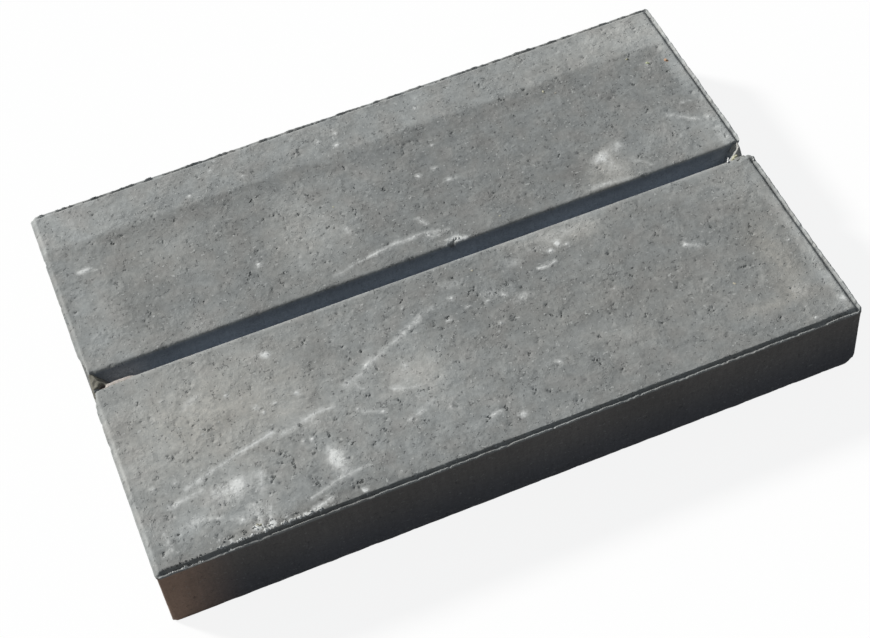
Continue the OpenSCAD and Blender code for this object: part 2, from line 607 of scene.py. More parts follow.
gouges = [          # points along a crack or a nick, its half width, depth and the strength of painted shade inside it
    ([(-291, -9.0), (-289.5, -8.8), (-287.5, -9.0)], 1.6, 4.4, 0.8),
    ([(-291.5, -9.0), (-295, -9.6), (-299, -11.6)], 0.95, 2.6, 1.6),
    ([(-294.5, 8.2), (-293, 8.4)], 1.3, 1.6, 0.6),
    ([(-279, 9.2), (-276, 9.3)], 1.2, 1.0, 0.4),
    ([(285.6, -10.8), (287, -10.2)], 0.9, 2.0, 0.9),
    ([(-83, 8.8), (-81, 8.9)], 1.1, 1.2, 0.8),
    ([(-13, 8.8), (-10, 8.9)], 1.2, 1.3, 0.9),
    ([(24, 8.7), (26, 8.4), (27.2, 9.0)], 1.35, 2.3, 1.5),
    ([(28.6, 11.4), (29.6, 12.6)], 0.9, 1.2, 1.2),
    ([(-232, 8.8), (-229, 8.8)], 1.0, 1.1, 0.7),
    ([(-150, 8.9), (-148, 8.8)], 0.9, 1.0, 0.7),
    ([(118, 8.8), (120, 8.9)], 1.0, 1.1, 0.7),
    ([(205, 8.8), (209, 8.9)], 1.0, 1.2, 0.7),
]

crusts = [          # x, y, half sizes along and across, strength: white crust and grains
    (-158, -35, 3.6, 3.2, 0.9), (-147, -83, 2.5, 2.2, 0.55), (-182, -83, 2.0, 1.8, 0.4),
    (-166, -85, 2.0, 1.5, 0.4), (-177, -90, 1.6, 1.6, 0.4), (-200, -61, 2.0, 1.7, 0.4),
    (98, -35, 2.4, 1.9, 0.75), (106, -30, 2.0, 3.4, 0.7), (113, -34, 1.6, 1.4, 0.4),
    (10, -179.5, 2.8, 2.0, 1.0), (57, -145, 1.8, 1.6, 0.5), (202.5, -78, 1.8, 1.6, 0.7),
    (262, -192, 1.6, 1.4, 0.5), (282, -110, 1.8, 1.5, 0.5), (3, -46.5, 2.0, 1.7, 0.6),
    (-89, -130, 1.8, 1.7, 0.45), (-39, -149, 1.3, 2.2, 0.35), (53, 123, 1.7, 1.4, 0.34),
    (28, 94, 1.9, 1.6, 0.7),
    (45, 96, 2.2, 1.2, 0.28), (51, 78, 2.8, 1.3, 0.48), (56, 173, 2.0, 1.6, 0.4),
    (-24, 161, 2.4, 1.8, 0.6), (-38, 172, 2.0, 1.6, 0.45), (-20, 175, 1.8, 1.5, 0.4),
    (13, 73, 1.6, 1.4, 0.4), (-163, 161, 1.8, 1.5, 0.5), (-113, 163, 1.8, 1.5, 0.45),
    (-137, 182, 1.8, 1.5, 0.4), (-131, 192, 1.8, 1.4, 0.4), (-132, 59, 2.3, 2.1, 0.75),
    (-272, 118, 5.5, 2.0, 0.7), (291, -183, 2.0, 1.8, 0.7), (-215.5, -190.5, 3.0, 2.6, 1.0),
    (-128, -193, 2.4, 1.8, 0.45), (-238, -193, 1.8, 1.4, 0.5),
    (-192, -191, 1.6, 1.4, 0.5), (-178, -194, 1.6, 1.3, 0.45), (-160, -193, 1.6, 1.3, 0.4),
    (-246, -189, 1.6, 1.4, 0.45), (30, 13, 4.0, 2.2, 0.8), (37, 11, 3.0, 1.8, 0.7),
    (23, 14.5, 2.4, 1.4, 0.6), (-223.5, -179.5, 2.2, 1.6, 0.6), (-204, -192, 2.2, 2.8, 1.0),
    (-150, -131, 1.9, 1.6, 0.7), (-157, -130, 1.4, 1.1, 0.5), (-262, -125, 2.2, 1.8, 0.3),
    (-279, -123.5, 1.8, 1.8, 0.3), (-107, -119, 1.8, 1.4, 0.35), (-168, -183, 1.8, 1.4, 0.45),
    (-129, -193.5, 1.3, 1.8, 0.5), (-86, -81, 2.2, 1.8, 0.35), (-38, -39, 1.6, 1.3, 0.4),
    (-8, -67, 3.2, 1.3, 0.4), (13, -60.5, 3.0, 1.2, 0.34), (29, -62, 2.6, 1.3, 0.45),
    (44, -62, 2.4, 1.2, 0.45), (-244, -195.2, 2.0, 0.8, 0.5), (-237, -195.3, 2.0, 0.8, 0.6),
    (-230, -195.2, 2.6, 0.8, 0.6), (-223, -195.2, 2.2, 0.8, 0.5), (-218, -195, 1.4, 0.8, 0.5),
    (-208, -194.6, 1.6, 1.2, 0.6), (-178, -195, 1.5, 0.9, 0.6), (-171, -195.1, 2.2, 0.7, 0.6),
    (-165, -195.1, 2.0, 0.7, 0.5), (287, 47, 2.0, 2.2, 0.5), (-57, -95, 2.0, 2.4, 0.35),
    (30, -88, 1.5, 1.5, 0.4),
]


def spread(generator, count, low, high, apart):
    # Random places at least a given distance apart
    cells = {}
    found = []
    for _ in range(count * 6):
        place = generator.uniform(low, high)
        key = (int(place[0] // apart), int(place[1] // apart))
        near = [cells.get((key[0] + i, key[1] + j)) for i in (-1, 0, 1) for j in (-1, 0, 1)]
        if any(other is not None and np.hypot(*(other - place)) < apart for other in near):
            continue
        cells[key] = place
        found.append(place)
        if len(found) == count:
            break
    return found


def insideCorners(places, gap):
    # Leaves out what lies beyond the rounded corners of the outline
    inside = np.ones(len(places), bool)
    for radius, (sideX, sideY) in zip(outline["cornerRadii"], cornerSides):
        beyondX = sideX * places[:, 0] - (halfLength - radius)
        beyondY = sideY * places[:, 1] - (float(unroll(halfWidth)) - radius)
        corner = (beyondX > 0) & (beyondY > 0)
        inside &= ~(corner & (np.hypot(beyondX, beyondY) > radius - gap))
    return places[inside]


def newPlan(border):
    # push moves a point along the surface's normal: outwards above 0, inwards below
    return {"places": [tuple(p) for p in border], "push": [0.0] * len(border), "border": len(border)}


def treeOf(plan):
    tree = kdtree.KDTree(len(plan["places"]))
    for index, place in enumerate(plan["places"]):
        tree.insert((place[0], place[1], 0), index)
    tree.balance()
    return tree


def addPlaces(plan, places, clearance, push=0.0):
    tree = treeOf(plan)
    for place in places:
        if tree.find((place[0], place[1], 0))[2] > clearance:
            plan["places"].append((float(place[0]), float(place[1])))
            plan["push"].append(push)


def addSpots(plan, spots, clearance, generator):
    # Each spot is its place, two half sizes, turn and push: a pit below 0, a grain above
    tree = treeOf(plan)
    for x, y, halfX, halfY, turn, push in spots:
        if tree.find((x, y, 0))[2] < max(halfX, halfY) + clearance:
            continue
        small = max(halfX, halfY) < 1.3
        count = 6 if small else 9
        angles = generator.uniform(0, 6.28) + np.arange(count) * 2 * math.pi / count
        for part, depth in [(1.0, 0.0)] if small else [(1.0, 0.0), (0.5, 0.85)]:
            for angle, size in zip(angles, generator.uniform(0.75, 1.25, count)):
                u = halfX * part * size * math.cos(angle)
                v = halfY * part * size * math.sin(angle)
                across = x + u * math.cos(turn) - v * math.sin(turn)
                plan["places"].append((across, y + u * math.sin(turn) + v * math.cos(turn)))
                plan["push"].append(push * depth)
        plan["places"].append((x, y))
        plan["push"].append(push)


def triangles(plan):
    border = list(range(plan["border"]))
    result = delaunay_2d_cdt([Vector(p) for p in plan["places"]], [], [border], 1, 1e-6, True)
    source = [origin[0] for origin in result[3]]
    return np.array([[source[i] for i in face] for face in result[2]])


def belowTop(places, stations, heights, gap=0.0):
    # Which places on the unrolled sides lie under the fin and outside the groove
    top = np.interp(places[:, 0], np.append(stations, wholeOutline), np.append(heights, heights[0]))
    return places[:, 1] < top - gap


def jitteredNet(low, high, step, generator):
    # Staggered rows, shaken a little so that no pattern shows
    rows = int((high[1] - low[1]) / (step * net["rowRatio"])) + 1
    columns = int((high[0] - low[0]) / step) + 1
    places = []
    for row in range(rows):
        x = low[0] + np.arange(columns) * step + (row % 2) * step / 2
        places.append(np.column_stack([x, np.full(columns, low[1] + row * step * net["rowRatio"])]))
    places = np.vstack(places)
    places = places + generator.uniform(-0.24, 0.24, places.shape) * step
    return places[(places[:, 0] < high[0]) & (places[:, 1] < high[1])]


def pitSpots(settings, places, generator, size=1.0):
    # Mostly small pores, with a few larger ones, each pressed or drawn out a little
    small, large = settings["radius"]
    spots = []
    for place in places:
        radius = size * (small + (large - small) * generator.uniform() ** 2.2)
        stretch = generator.uniform(1.0, 1.5)
        depth = settings["depth"] * radius * generator.uniform(0.7, 1.3)
        turn = generator.normal(0.9, 0.5)
        spots.append((place[0], place[1], radius * stretch, radius / stretch, turn, -depth))
    return spots


def gatheredPlaces(centres, reach, counts, generator):
    # A few pores close together round each centre
    places = []
    for centre, size, count in zip(centres, reach, counts):
        for _ in range(count):
            places.append(np.array(centre) + generator.normal(0, 0.5, 2) * size * np.array([0.8, 1.1]))
    return places


def rimRows():
    # Rows of places along the fin and the bevel, on the unrolled upper side
    places = []
    for rim in rims.values():
        outer, inner = rim["fin"]
        third = (rim["edge"] - rim["foot"]) / 3
        depths = [
            outer + (inner - outer) * 0.22, outer + (inner - outer) * 0.55,
            outer + (inner - outer) * 0.85, rim["foot"] + 0.1, rim["foot"] + third,
            rim["foot"] + 2 * third, rim["edge"], rim["edge"] + 0.9, rim["edge"] + 2.4,
        ]
        for index, depth in enumerate(depths):
            shift = (index % 2) * outline["spacing"] / 2
            if rim["axis"] == 0:
                reach = float(unroll(halfWidth)) - depth
                along = np.arange(-reach + shift, reach, outline["spacing"])
                across = np.full(len(along), rim["sign"] * (halfLength - depth))
                places.append(np.column_stack([across, along]))
            else:
                reach = halfLength - depth
                along = np.arange(-reach + shift, reach, outline["spacing"])
                across = np.full(len(along), float(unroll(rim["sign"] * (halfWidth - depth))))
                places.append(np.column_stack([along, across]))
    return np.vstack(places)


def grooveRows():
    # Rows of places along the groove: round floor, walls, arris and the edge beside it
    step = net["grooveWall"]
    walls = evenly(wallStart, arrisStart, step)
    rows = [0.0, wallStart * 0.35, wallStart * 0.7] + walls
    rows += list(sectionLength[-arrisCount - 1:-1]) + [edgeLength + 1.7]
    places = []
    for index, row in enumerate(rows):
        x = np.arange(-halfLength + 7 + (index % 2) * step / 2, halfLength - 6, step)
        for side in (-1, 1):
            places.append(np.column_stack([x, np.full(len(x), side * row)]))
    return np.vstack(places)


def smoothed(points, step):
    # Smooth curve through the points
    knots = np.array([points[0], *points, points[-1]], float)
    path = []
    for before, start, end, after in zip(knots[:-3], knots[1:-2], knots[2:-1], knots[3:]):
        count = max(1, round(math.dist(start, end) / step))
        for part in np.arange(count) / count:
            bend = 2 * start + (end - before) * part + (2 * before - 5 * start + 4 * end - after) * part ** 2
            path.append((bend + (3 * start - before - 3 * end + after) * part ** 3) / 2)
    return path + [knots[-1]]


def rowsAlong(points, spacing, halfWide):
    # Three rows of places along a mark on the upper side
    path = np.array(smoothed(points, spacing))
    ahead = np.gradient(path, axis=0)
    ahead /= np.linalg.norm(ahead, axis=1, keepdims=True)
    across = np.column_stack([-ahead[:, 1], ahead[:, 0]])
    rows = np.vstack([path + across * shift for shift in (0, -halfWide, halfWide)])
    return np.column_stack([rows[:, 0], unroll(rows[:, 1])])


def addPits(plan, places, limit, generator, size=1.0):
    # Pores on the face alone: clear of the groove and of the rims
    places = [p for p in places if abs(p[1]) > edgeLength + 2 and (np.abs(p) < limit).all()]
    addSpots(plan, pitSpots(pores, places, generator, size), 0.1, generator)


def makeTopPlan(stations):
    generator = np.random.default_rng(pores["seed"])
    x, y, _, _ = outlineAt(stations)
    plan = newPlan(np.column_stack([x, unroll(y)]))
    addPlaces(plan, insideCorners(rimRows(), 0.3), 0.42)
    addPlaces(plan, grooveRows(), 0.42)
    for points, halfWide, _, _ in gouges:
        addPlaces(plan, rowsAlong(points, 0.7, halfWide * 0.8), 0.35)
    notable = []
    for x, y, radius in pores["notable"]:
        for _ in range(4 if radius > 1.35 else 2):
            aside = generator.normal(0, radius * 0.75, 2)
            size = radius * generator.uniform(0.5, 0.85)
            place = (x + aside[0], float(unroll(y)) + aside[1])
            notable.append((*place, size * 1.3, size * 0.8, 0.9, -size * 0.6))
    addSpots(plan, notable, 0.0, generator)
    raised = [(x, float(unroll(y)), halfX, halfY, 0.0, 0.35) for x, y, halfX, halfY, _ in crusts]
    addSpots(plan, raised, 0.0, generator)
    low = np.array([-halfLength + 7, -unroll(halfWidth) + 7])
    known = np.array(pores["gathered"])
    centres = list(np.column_stack([known[:, 0], unroll(known[:, 1])]))
    reach = list(known[:, 2])
    counts = list(known[:, 3].astype(int))
    for centre in spread(generator, pores["clusters"], low, -low, pores["clustersApart"]):
        centres.append(centre)
        reach.append(pores["clusterSpread"] * generator.uniform(0.6, 1.5))
        counts.append(int(2 + 7 * generator.uniform() ** 2))
    count = len(known)
    gathered = gatheredPlaces(centres[:count], reach[:count], counts[:count], generator)
    addPits(plan, gathered, -low, generator, pores["gatheredSize"])
    others = gatheredPlaces(centres[count:], reach[count:], counts[count:], generator)
    others += spread(generator, pores["single"], low, -low, pores["singlesApart"])
    addPits(plan, others, -low, generator)
    for points, _, halfWide in scratches:
        addPlaces(plan, rowsAlong(points, 1.5, halfWide * 0.8), 0.6)
    low = np.array([-halfLength + 2, -unroll(halfWidth) + 2])
    addPlaces(plan, jitteredNet(low, -low, net["top"], generator), net["top"] * net["clearance"])
    return plan


def makeSidePlan(stations, heights, lower):
    # Unrolled upright sides: along the outline, and up
    generator = np.random.default_rng(sidePores["seed"])
    seam = evenly(0.0, heights[0], net["side"]) + [heights[0]]
    border = [(s, 0.0) for s in lower] + [(wholeOutline, h) for h in seam]
    border += list(zip(stations, heights))[::-1] + [(0.0, h) for h in seam[-2:0:-1]]
    plan = newPlan(border)
    columns = []
    for index in range(len(cornerSides)):
        start = outlineLength[1 + cornerKnots * index]
        end = outlineLength[cornerKnots * (index + 1)]
        for s in evenly(start, end, 0.9) + [end]:
            columns += [(s, z) for z in np.arange(*net["cornerRows"])]
    columns += [(s, 0.8) for s in lower[1:]]
    upper, under = net["belowRim"]
    for s in stations[1:]:
        columns += [(s, upper), (s + 0.7, under)]
    columns = np.array(columns)
    addPlaces(plan, columns[belowTop(columns, stations, heights, 0.5)], 0.7)
    reach = np.array([wholeOutline - 6, 62])
    places = np.array(spread(generator, sidePores["count"], np.array([6, 4]), reach, sidePores["apart"]))
    places = places[belowTop(places, stations, heights, 3.0)]
    addSpots(plan, pitSpots(sidePores, places, generator), 0.6, generator)
    places = jitteredNet((1.5, 1.5), (wholeOutline - 1.5, topFace - 4), net["side"], generator)
    addPlaces(plan, places[belowTop(places, stations, heights, 0.8)], net["side"] * net["clearance"])
    return plan


def makeBedPlan(lower):
    generator = np.random.default_rng(net["seed"])
    x, y, _, _ = outlineAt(lower)
    plan = newPlan(np.column_stack([x, y]))
    rows = []
    for inset in (1.6, 5.5):
        rows.append(np.column_stack([x * (1 - inset / halfLength), y * (1 - inset / halfWidth)]))
    addPlaces(plan, np.vstack(rows), 0.8)
    corner = (halfLength - 6, halfWidth - 6)
    mesh = jitteredNet((-corner[0], -corner[1]), corner, net["bed"], generator)
    addPlaces(plan, mesh, net["bed"] * 0.4)
    return plan


# Tone of the upper side: each patch is x, y, half sizes along X and Y, turn in degrees and
# amount. Panels are x and y from and to, softness of the border and amount.

tones = {
    "patches": [
        (-262, 178, 55, 28, 0, 0.22), (262, 180, 50, 30, 0, 0.24), (60, 175, 34, 18, 0, 0.05),
        (-276, 60, 26, 110, 0, 0.24), (-262, 65, 9, 26, 0, 0.10), (-220, 58, 30, 28, 0, -0.05),
        (-200, 34, 34, 22, 35, 0.10), (-195, 96, 46, 26, 0, 0.10), (-78, 66, 34, 56, 10, 0.28),
        (-80, 112, 22, 20, 0, 0.08), (-225, -70, 92, 66, 0, 0.42), (-240, -150, 74, 44, 0, 0.36),
        (-200, -28, 110, 18, 0, 0.20), (-140, -120, 60, 60, 0, 0.18), (-50, -103, 40, 30, 0, 0.34),
        (-80, -60, 40, 26, 0, 0.14), (-70, -40, 60, 20, 0, 0.08), (-60, -160, 90, 34, 0, 0.10),
        (112, -22, 44, 11, -2, 0.30), (265, -30, 40, 22, 0, 0.20), (288, -110, 12, 96, 0, 0.26),
        (270, 40, 34, 34, 0, 0.24), (291, 110, 9, 70, 0, 0.20), (240, -155, 60, 40, 0, 0.12),
        (100, -160, 120, 30, 0, 0.06), (0, -175, 90, 20, 0, 0.06), (150, -90, 40, 30, 0, -0.04),
        (-16, 24, 40, 14, 0, 0.10), (10, -25, 30, 10, 0, 0.06),
        (-190, 130, 34, 30, 0, 0.13), (-205, 22, 9, 8, 0, 0.16), (-95, 60, 20, 15, 0, 0.14),
        (-65, 72, 22, 26, 0, 0.10), (-85, 115, 12, 20, 0, 0.08), (-285, 68, 14, 30, 0, 0.09),
        (-275, 35, 12, 10, 0, 0.09), (-265, 135, 16, 15, 0, 0.08), (-290, 196, 25, 10, 0, 0.14),
        (205, 183, 12, 20, 0, 0.13), (258, 168, 40, 22, 0, 0.09), (269, 141, 9, 17, 0, 0.12),
        (-150, 160, 60, 34, 0, -0.08), (-250, 172, 30, 14, 15, -0.10), (40, 108, 38, 30, 0, -0.12),
        (150, 38, 22, 16, 0, -0.26), (192, 36, 24, 20, 0, 0.12), (285, 28, 8, 12, 0, 0.16),
        (-36, 28, 20, 10, 0, -0.12), (-10, 18, 16, 8, 0, -0.12), (-75, 25, 12, 8, 0, -0.13),
        (-265, -38, 16, 10, 0, -0.13), (-198, -45, 20, 14, 0, -0.12), (-150, -24, 10, 16, 0, -0.12),
        (-118, -47, 11, 15, 0, -0.26), (-150, -42, 90, 26, 0, -0.08), (-205, -90, 22, 12, 0, -0.17),
        (-170, -148, 24, 20, 0, -0.12), (-130, -165, 10, 25, 0, -0.12), (-285, -110, 14, 14, 0, 0.20),
        (-272, -165, 26, 10, 0, 0.22), (-208, -180, 20, 7, 0, 0.16), (-50, -130, 22, 20, 0, 0.20),
        (-30, -150, 26, 16, 0, 0.08), (-30, -70, 22, 22, 0, 0.09), (20, -125, 32, 15, 0, 0.11),
        (110, -140, 28, 12, -20, 0.13), (130, -22, 12, 11, 0, 0.26), (90, -15, 16, 5, 0, 0.20),
        (220, -18, 15, 6, 0, 0.15), (90, -31, 12, 7, 0, -0.17), (15, -33, 15, 10, 0, -0.13),
        (15, -75, 17, 10, 0, -0.12), (50, -168, 50, 14, 0, -0.11), (60, -58, 14, 12, 0, -0.10),
        (265, -45, 20, 10, 0, 0.09), (126, -78, 9, 9, 0, 0.10), (235, -122, 9, 9, 0, -0.10),
        (172, 30, 12, 15, 0, 0.20), (200, 13, 11, 6, 0, 0.16), (150, 15, 14, 5, 0, 0.12),
        (95, -29, 11, 7, 0, -0.26), (86, -44, 9, 8, 0, -0.20), (12, 30, 18, 9, 0, -0.17),
        (-40, 27, 9, 8, 0, -0.16), (-30, -128, 15, 14, 0, 0.19), (-185, 110, 13, 10, 0, 0.16),
        (-48, -42, 10, 9, 0, 0.13), (-195, -92, 22, 12, 0, -0.12), (-80, 150, 10, 12, 0, -0.13),
        (90, -14, 22, 5, 0, 0.14), (185, -14, 60, 5, 0, 0.12), (258, -20, 12, 10, 0, 0.10),
        (140, -23, 16, 9, 0, 0.14), (-250, -173, 28, 6, 0, 0.16), (-205, -180, 18, 6, 0, 0.10),
        (-133, -148, 9, 9, 0, 0.15), (-60, -96, 9, 7, 0, -0.14), (-75, -113, 9, 6, 0, -0.15),
        (203, 79, 8, 10, 0, 0.12), (277, -42, 16, 10, 0, 0.12), (-255, -78, 13, 14, 0, 0.12),
        (272, 75, 10, 9, 0, -0.11), (-290, -188, 12, 14, 0, 0.16), (283, -190, 14, 7, 0, 0.14),
        (291, -80, 8, 12, 0, -0.12), (-20, 85, 8, 12, 0, 0.09), (-62, 40, 9, 10, 0, 0.09),
        (-75, 125, 12, 8, 0, 0.09), (-5, 127, 14, 8, 0, 0.09), (90, -135, 40, 6, -15, 0.09),
        (210, -82, 18, 8, 0, 0.08), (140, -75, 20, 12, 0, 0.08), (215, -168, 24, 12, 0, 0.09),
        (-130, -60, 14, 10, 0, -0.10), (30, 60, 20, 12, 0, -0.09), (-25, 160, 9, 8, 0, -0.12),
    ],
    "panels": [
        (-320, 284, 152, 220, 1.6, 0.27), (281, 320, 100, 220, 3.0, 0.20),
        (-320, -144, -106, -34, 2.5, 0.10), (-72, -24, -124, -84, 8.0, 0.10),
        (255, 273, -166, -88, 3.0, 0.12), (213, 273, -171, -162, 3.0, 0.14),
        (262, 282, 138, 150, 3.0, -0.14), (-320, 284, 132, 151, 5.0, -0.07),
        (278, 286, -200, -60, 2.0, -0.12), (288, 310, -200, -60, 2.0, 0.20),
        (-298, -100, -204, -187, 2.0, -0.12), (285, 310, 5, 200, 3.0, 0.22),
        (284, 297, -170, -20, 2.0, 0.12), (-245, -130, -196, -187, 1.5, -0.08),
    ],
    "warp": 5.0,
}

beiges = [          # x, y, half sizes, turn and amount: warm dust
    (-215, -72, 90, 60, 0, 0.75), (-90, 72, 42, 50, 0, 0.30), (-52, -103, 30, 22, 0, 0.40),
    (112, -24, 46, 12, -2, 0.65), (178, 22, 22, 22, -20, 0.80), (185, 40, 10, 12, 0, 0.60),
    (262, -125, 14, 50, 0, 0.60), (240, -165, 36, 8, 0, 0.60), (150, -120, 90, 60, 0, 0.25),
    (240, 172, 70, 30, 0, 0.30), (-205, 110, 60, 40, 0, 0.25), (-205, -192, 50, 6, 0, 0.5),
    (270, -90, 30, 90, 0, 0.25), (-240, 60, 20, 60, 0, 0.20), (60, -95, 60, 20, 0, 0.15),
]

chalks = [          # x, y, half sizes, turn and amount: white lime bloom
    (-223, -148, 13, 8, 8, 0.75), (-218.5, -147, 4.5, 5.5, 0, 0.85), (-234, -147, 6, 5, 0, 0.40),
    (-138, -153, 8, 9, 0, 0.55), (-139, -149.5, 4, 4.5, 0, 0.60), (-140.5, -159, 4, 6, 0, 0.50),
    (-138, -165, 9, 12, 0, 0.35), (-212, -176, 9, 10, 20, 0.40),
    (-202, -159, 4, 5, 0, 0.35), (-198, -145, 5, 4, 0, 0.30), (-228, -54, 10, 4, 30, 0.35),
    (-272, -145, 5, 3, 0, 0.45), (8, -32, 12, 5, 0, 0.28), (35, -57, 13, 6, -20, 0.30),
    (57, -70, 12, 6, -10, 0.16), (66, -34, 8, 5, 0, 0.30), (181, 45, 8, 4, 25, 0.80),
    (184, 39, 5, 5, 0, 0.35), (200, 51, 4, 4, 0, 0.35), (267, 131, 5, 4, 30, 0.30),
    (-51, 62.5, 3.5, 4, 0, 0.48), (-65, 87, 2.6, 8, 35, 0.22), (-71, 51, 5, 3, -20, 0.25),
    (57, -70, 10, 2.4, 20, 0.30),
    (170, 14, 14, 3, 0, 0.50), (185, 30, 14, 17, 0, 0.32), (200, 48, 7, 5, 0, 0.25),
    (190, 12, 6, 3, 0, 0.25), (22.5, 11.6, 4.2, 2.4, 25, 0.45), (32, 13.8, 3.0, 4.6, -40, 0.45),
    (31, 10.4, 11, 1.4, 0, 0.38), (38.5, 11.4, 4.0, 2.0, 12, 0.42),
    (28.6, 15.8, 1.6, 3.4, -45, 0.32), (-268, 117, 8, 3, -10, 0.35),
    (110, -21, 30, 7, 0, 0.30), (90, -30, 20, 6, -15, 0.18), (-200, -190, 60, 4, 0, 0.10),
    (-60, -103, 22, 12, 0, 0.15), (265, -162, 8, 8, 0, 0.20), (212, -83, 6, 3, -30, 0.40),
    (-150, -108, 26, 4, 18, 0.12), (291, -183, 4, 4, 0, 0.45), (288, 20, 6, 14, 0, 0.25),
    (45, 96, 6, 3, 0, 0.15), (52, 78, 7, 3, 0, 0.22), (-22, 164, 8, 5, 0, 0.10),
    (-262, -166, 11, 4, 8, 0.32), (-230, -177, 3.0, 3.5, 30, 0.45), (-136, -166, 3.5, 9, 0, 0.22),
    (-142, -118, 3.5, 8, 0, 0.18), (-240, -170, 3.0, 1.6, 0, 0.45), (-219, -156, 3.0, 2.4, 0, 0.35),
]


crustChalk = 1.7            # how white a crust of full strength is


def ellipseWeight(x, y, patch):
    centreX, centreY, halfX, halfY, turn = patch[:5]
    angle = math.radians(turn)
    u = (x - centreX) * math.cos(angle) + (y - centreY) * math.sin(angle)
    v = (y - centreY) * math.cos(angle) - (x - centreX) * math.sin(angle)
    return np.exp(-1.1 * ((u / halfX) ** 2 + (v / halfY) ** 2))


def patchSum(x, y, patches):
    total = np.zeros(len(x))
    for patch in patches:
        total += patch[5] * ellipseWeight(x, y, patch)
    return total


def between(low, high, soft, value):
    return smoothStep(low - soft, low + soft, value), 1 - smoothStep(high - soft, high + soft, value)


def panelWeight(x, y, panel):
    fromX, toX, fromY, toY, soft = panel[:5]
    left, right = between(fromX, toX, soft, x)
    near, far = between(fromY, toY, soft, y)
    return left * right * near * far


def scratchWeight(x, y):
    # A powdery line with a faint veil beside it
    most = np.zeros(len(x))
    for index, (points, strength, halfWide) in enumerate(scratches):
        start = 0.0
        path = np.array(smoothed(points, 3.0))
        path[:, 1] += 0.8 * lineNoise(path[:, 0], 12.0, 90 + index)
        for (x0, y0), (x1, y1) in zip(path[:-1], path[1:]):
            length = math.hypot(x1 - x0, y1 - y0)
            close = np.hypot(x - (x0 + x1) / 2, y - (y0 + y1) / 2) < length / 2 + 4 * halfWide
            alongX, alongY = x[close] - x0, y[close] - y0
            along = (alongX * (x1 - x0) + alongY * (y1 - y0)) / length
            off = np.abs(alongX * (y1 - y0) - alongY * (x1 - x0)) / length
            beyond = np.maximum(np.maximum(-along, along - length), 0)
            distance = np.hypot(off, beyond) / halfWide
            broken = np.clip(0.85 + 0.8 * lineNoise(start + along, 4.0, 40 + index), 0.15, 1.2)
            veil = 0.25 * np.exp(-0.25 * distance ** 2)
            line = strength * (np.exp(-1.3 * distance ** 2) * broken + veil)
            most[close] = np.maximum(most[close], line)
            start += length
    return most


def topMarks(points):
    # Tone, beige and chalk of each point of the upper side
    warp = tones["warp"]
    flat = points * np.array([1, 1, 0])
    x = points[:, 0] + warp * (noiseAt(flat, 30, 51) + 0.5 * noiseAt(flat, 11, 52))
    y = points[:, 1] + warp * (noiseAt(flat, 30, 53) + 0.5 * noiseAt(flat, 11, 54))
    tone = patchSum(x, y, tones["patches"])
    lightX = points[:, 0] * 0.8 + x * 0.2
    lightY = points[:, 1] * 0.8 + y * 0.2
    for panel in tones["panels"]:
        tone += panel[5] * panelWeight(lightX, lightY, panel)
    beige = patchSum(x, y, beiges)
    x = points[:, 0] * 0.6 + x * 0.4
    y = points[:, 1] * 0.6 + y * 0.4
    chalk = patchSum(x, y, chalks)
    for centreX, centreY, halfX, halfY, amount in crusts:
        patch = (centreX, centreY, halfX, halfY, 0)
        chalk += crustChalk * amount * ellipseWeight(points[:, 0], points[:, 1], patch)
    chalk += scratchWeight(points[:, 0], points[:, 1])
    return tone, np.clip(beige, 0, 1), np.clip(chalk, 0, 1.6)


# The body's mesh

# Broken corners: a point, the way out of the stone, how far in from the point the break's
# flat lies (below 0, out beyond it), and how far from the point it reaches

chips = [
    ((halfLength, -halfWidth, 0), (0.62, -0.55, -0.56), 5.2, 24),
    ((-halfLength, -halfWidth, 0), (-0.55, -0.55, -0.63), 2.6, 20),
    ((halfLength, halfWidth, 0), (0.6, 0.6, -0.53), 2.2, 20),
    ((-halfLength, halfWidth, 0), (-0.6, 0.6, -0.53), 3.0, 20),
    ((-halfLength, -halfWidth, 67), (-0.55, -0.6, 0.58), 1.2, 12),
    ((-halfLength, halfWidth, 69), (-0.62, 0.62, 0.45), 3.4, 12),
    ((halfLength, -halfWidth, 67), (0.6, -0.6, 0.53), 1.4, 12),
    ((halfLength, -9, 69), (0.78, 0.50, 0.38), 1.8, 12),
    ((halfLength, 20, 60), (0.06, -1.0, 0.0), -8.8, 26),
    ((halfLength, 9, 58), (0.99, -0.06, 0.02), 1.9, 14),
    ((-halfLength, 2, 60), (-0.99, 0.0, 0.04), 2.2, 32),
]


def vertexNormals(points, faces):
    corners = points[faces]
    flat = np.cross(corners[:, 1] - corners[:, 0], corners[:, 2] - corners[:, 0])
    normals = np.zeros_like(points)
    for corner in range(3):
        np.add.at(normals, faces[:, corner], flat)
    return normals / np.maximum(np.linalg.norm(normals, axis=1, keepdims=True), 1e-12)


def outwardFrom(points):
    # Level direction out of the stone near its outline, and nothing further in
    reach = np.array([halfLength - 3, halfWidth - 3])
    away = points[:, :2] - np.clip(points[:, :2], -reach, reach)
    size = np.linalg.norm(away, axis=1, keepdims=True)
    level = np.where(size > 0.02, away / np.maximum(size, 1e-9), 0)
    return np.column_stack([level, np.zeros(len(points))]), size[:, 0]


def leanRim(points):
    # The fin leans out over the sides and wanders a little
    outward, size = outwardFrom(points)
    amount = np.zeros(len(points))
    for rim in rims.values():
        distance, along = sideDistance(rim, points[:, 0], points[:, 1])
        near = (distance < 3.2) & (points[:, 2] > 60)
        a = along[near]
        wander = 0.5 * lineNoise(a, 21, rim["seed"] + 6) + 0.4 * lineNoise(a, 4.2, rim["seed"] + 7)
        lean = (rim["lean"] + wander * (0.3 + rim["rough"])) * (0.35 + 0.65 * unbroken(rim, a))
        lean *= smoothStep(leanFrom, leanWhole, points[near, 2])
        amount[near] = np.where(np.abs(outward[near, rim["axis"]]) > 0.6, lean, amount[near])
    return points + outward * (amount * smoothStep(0.3, 2.2, size))[:, None]


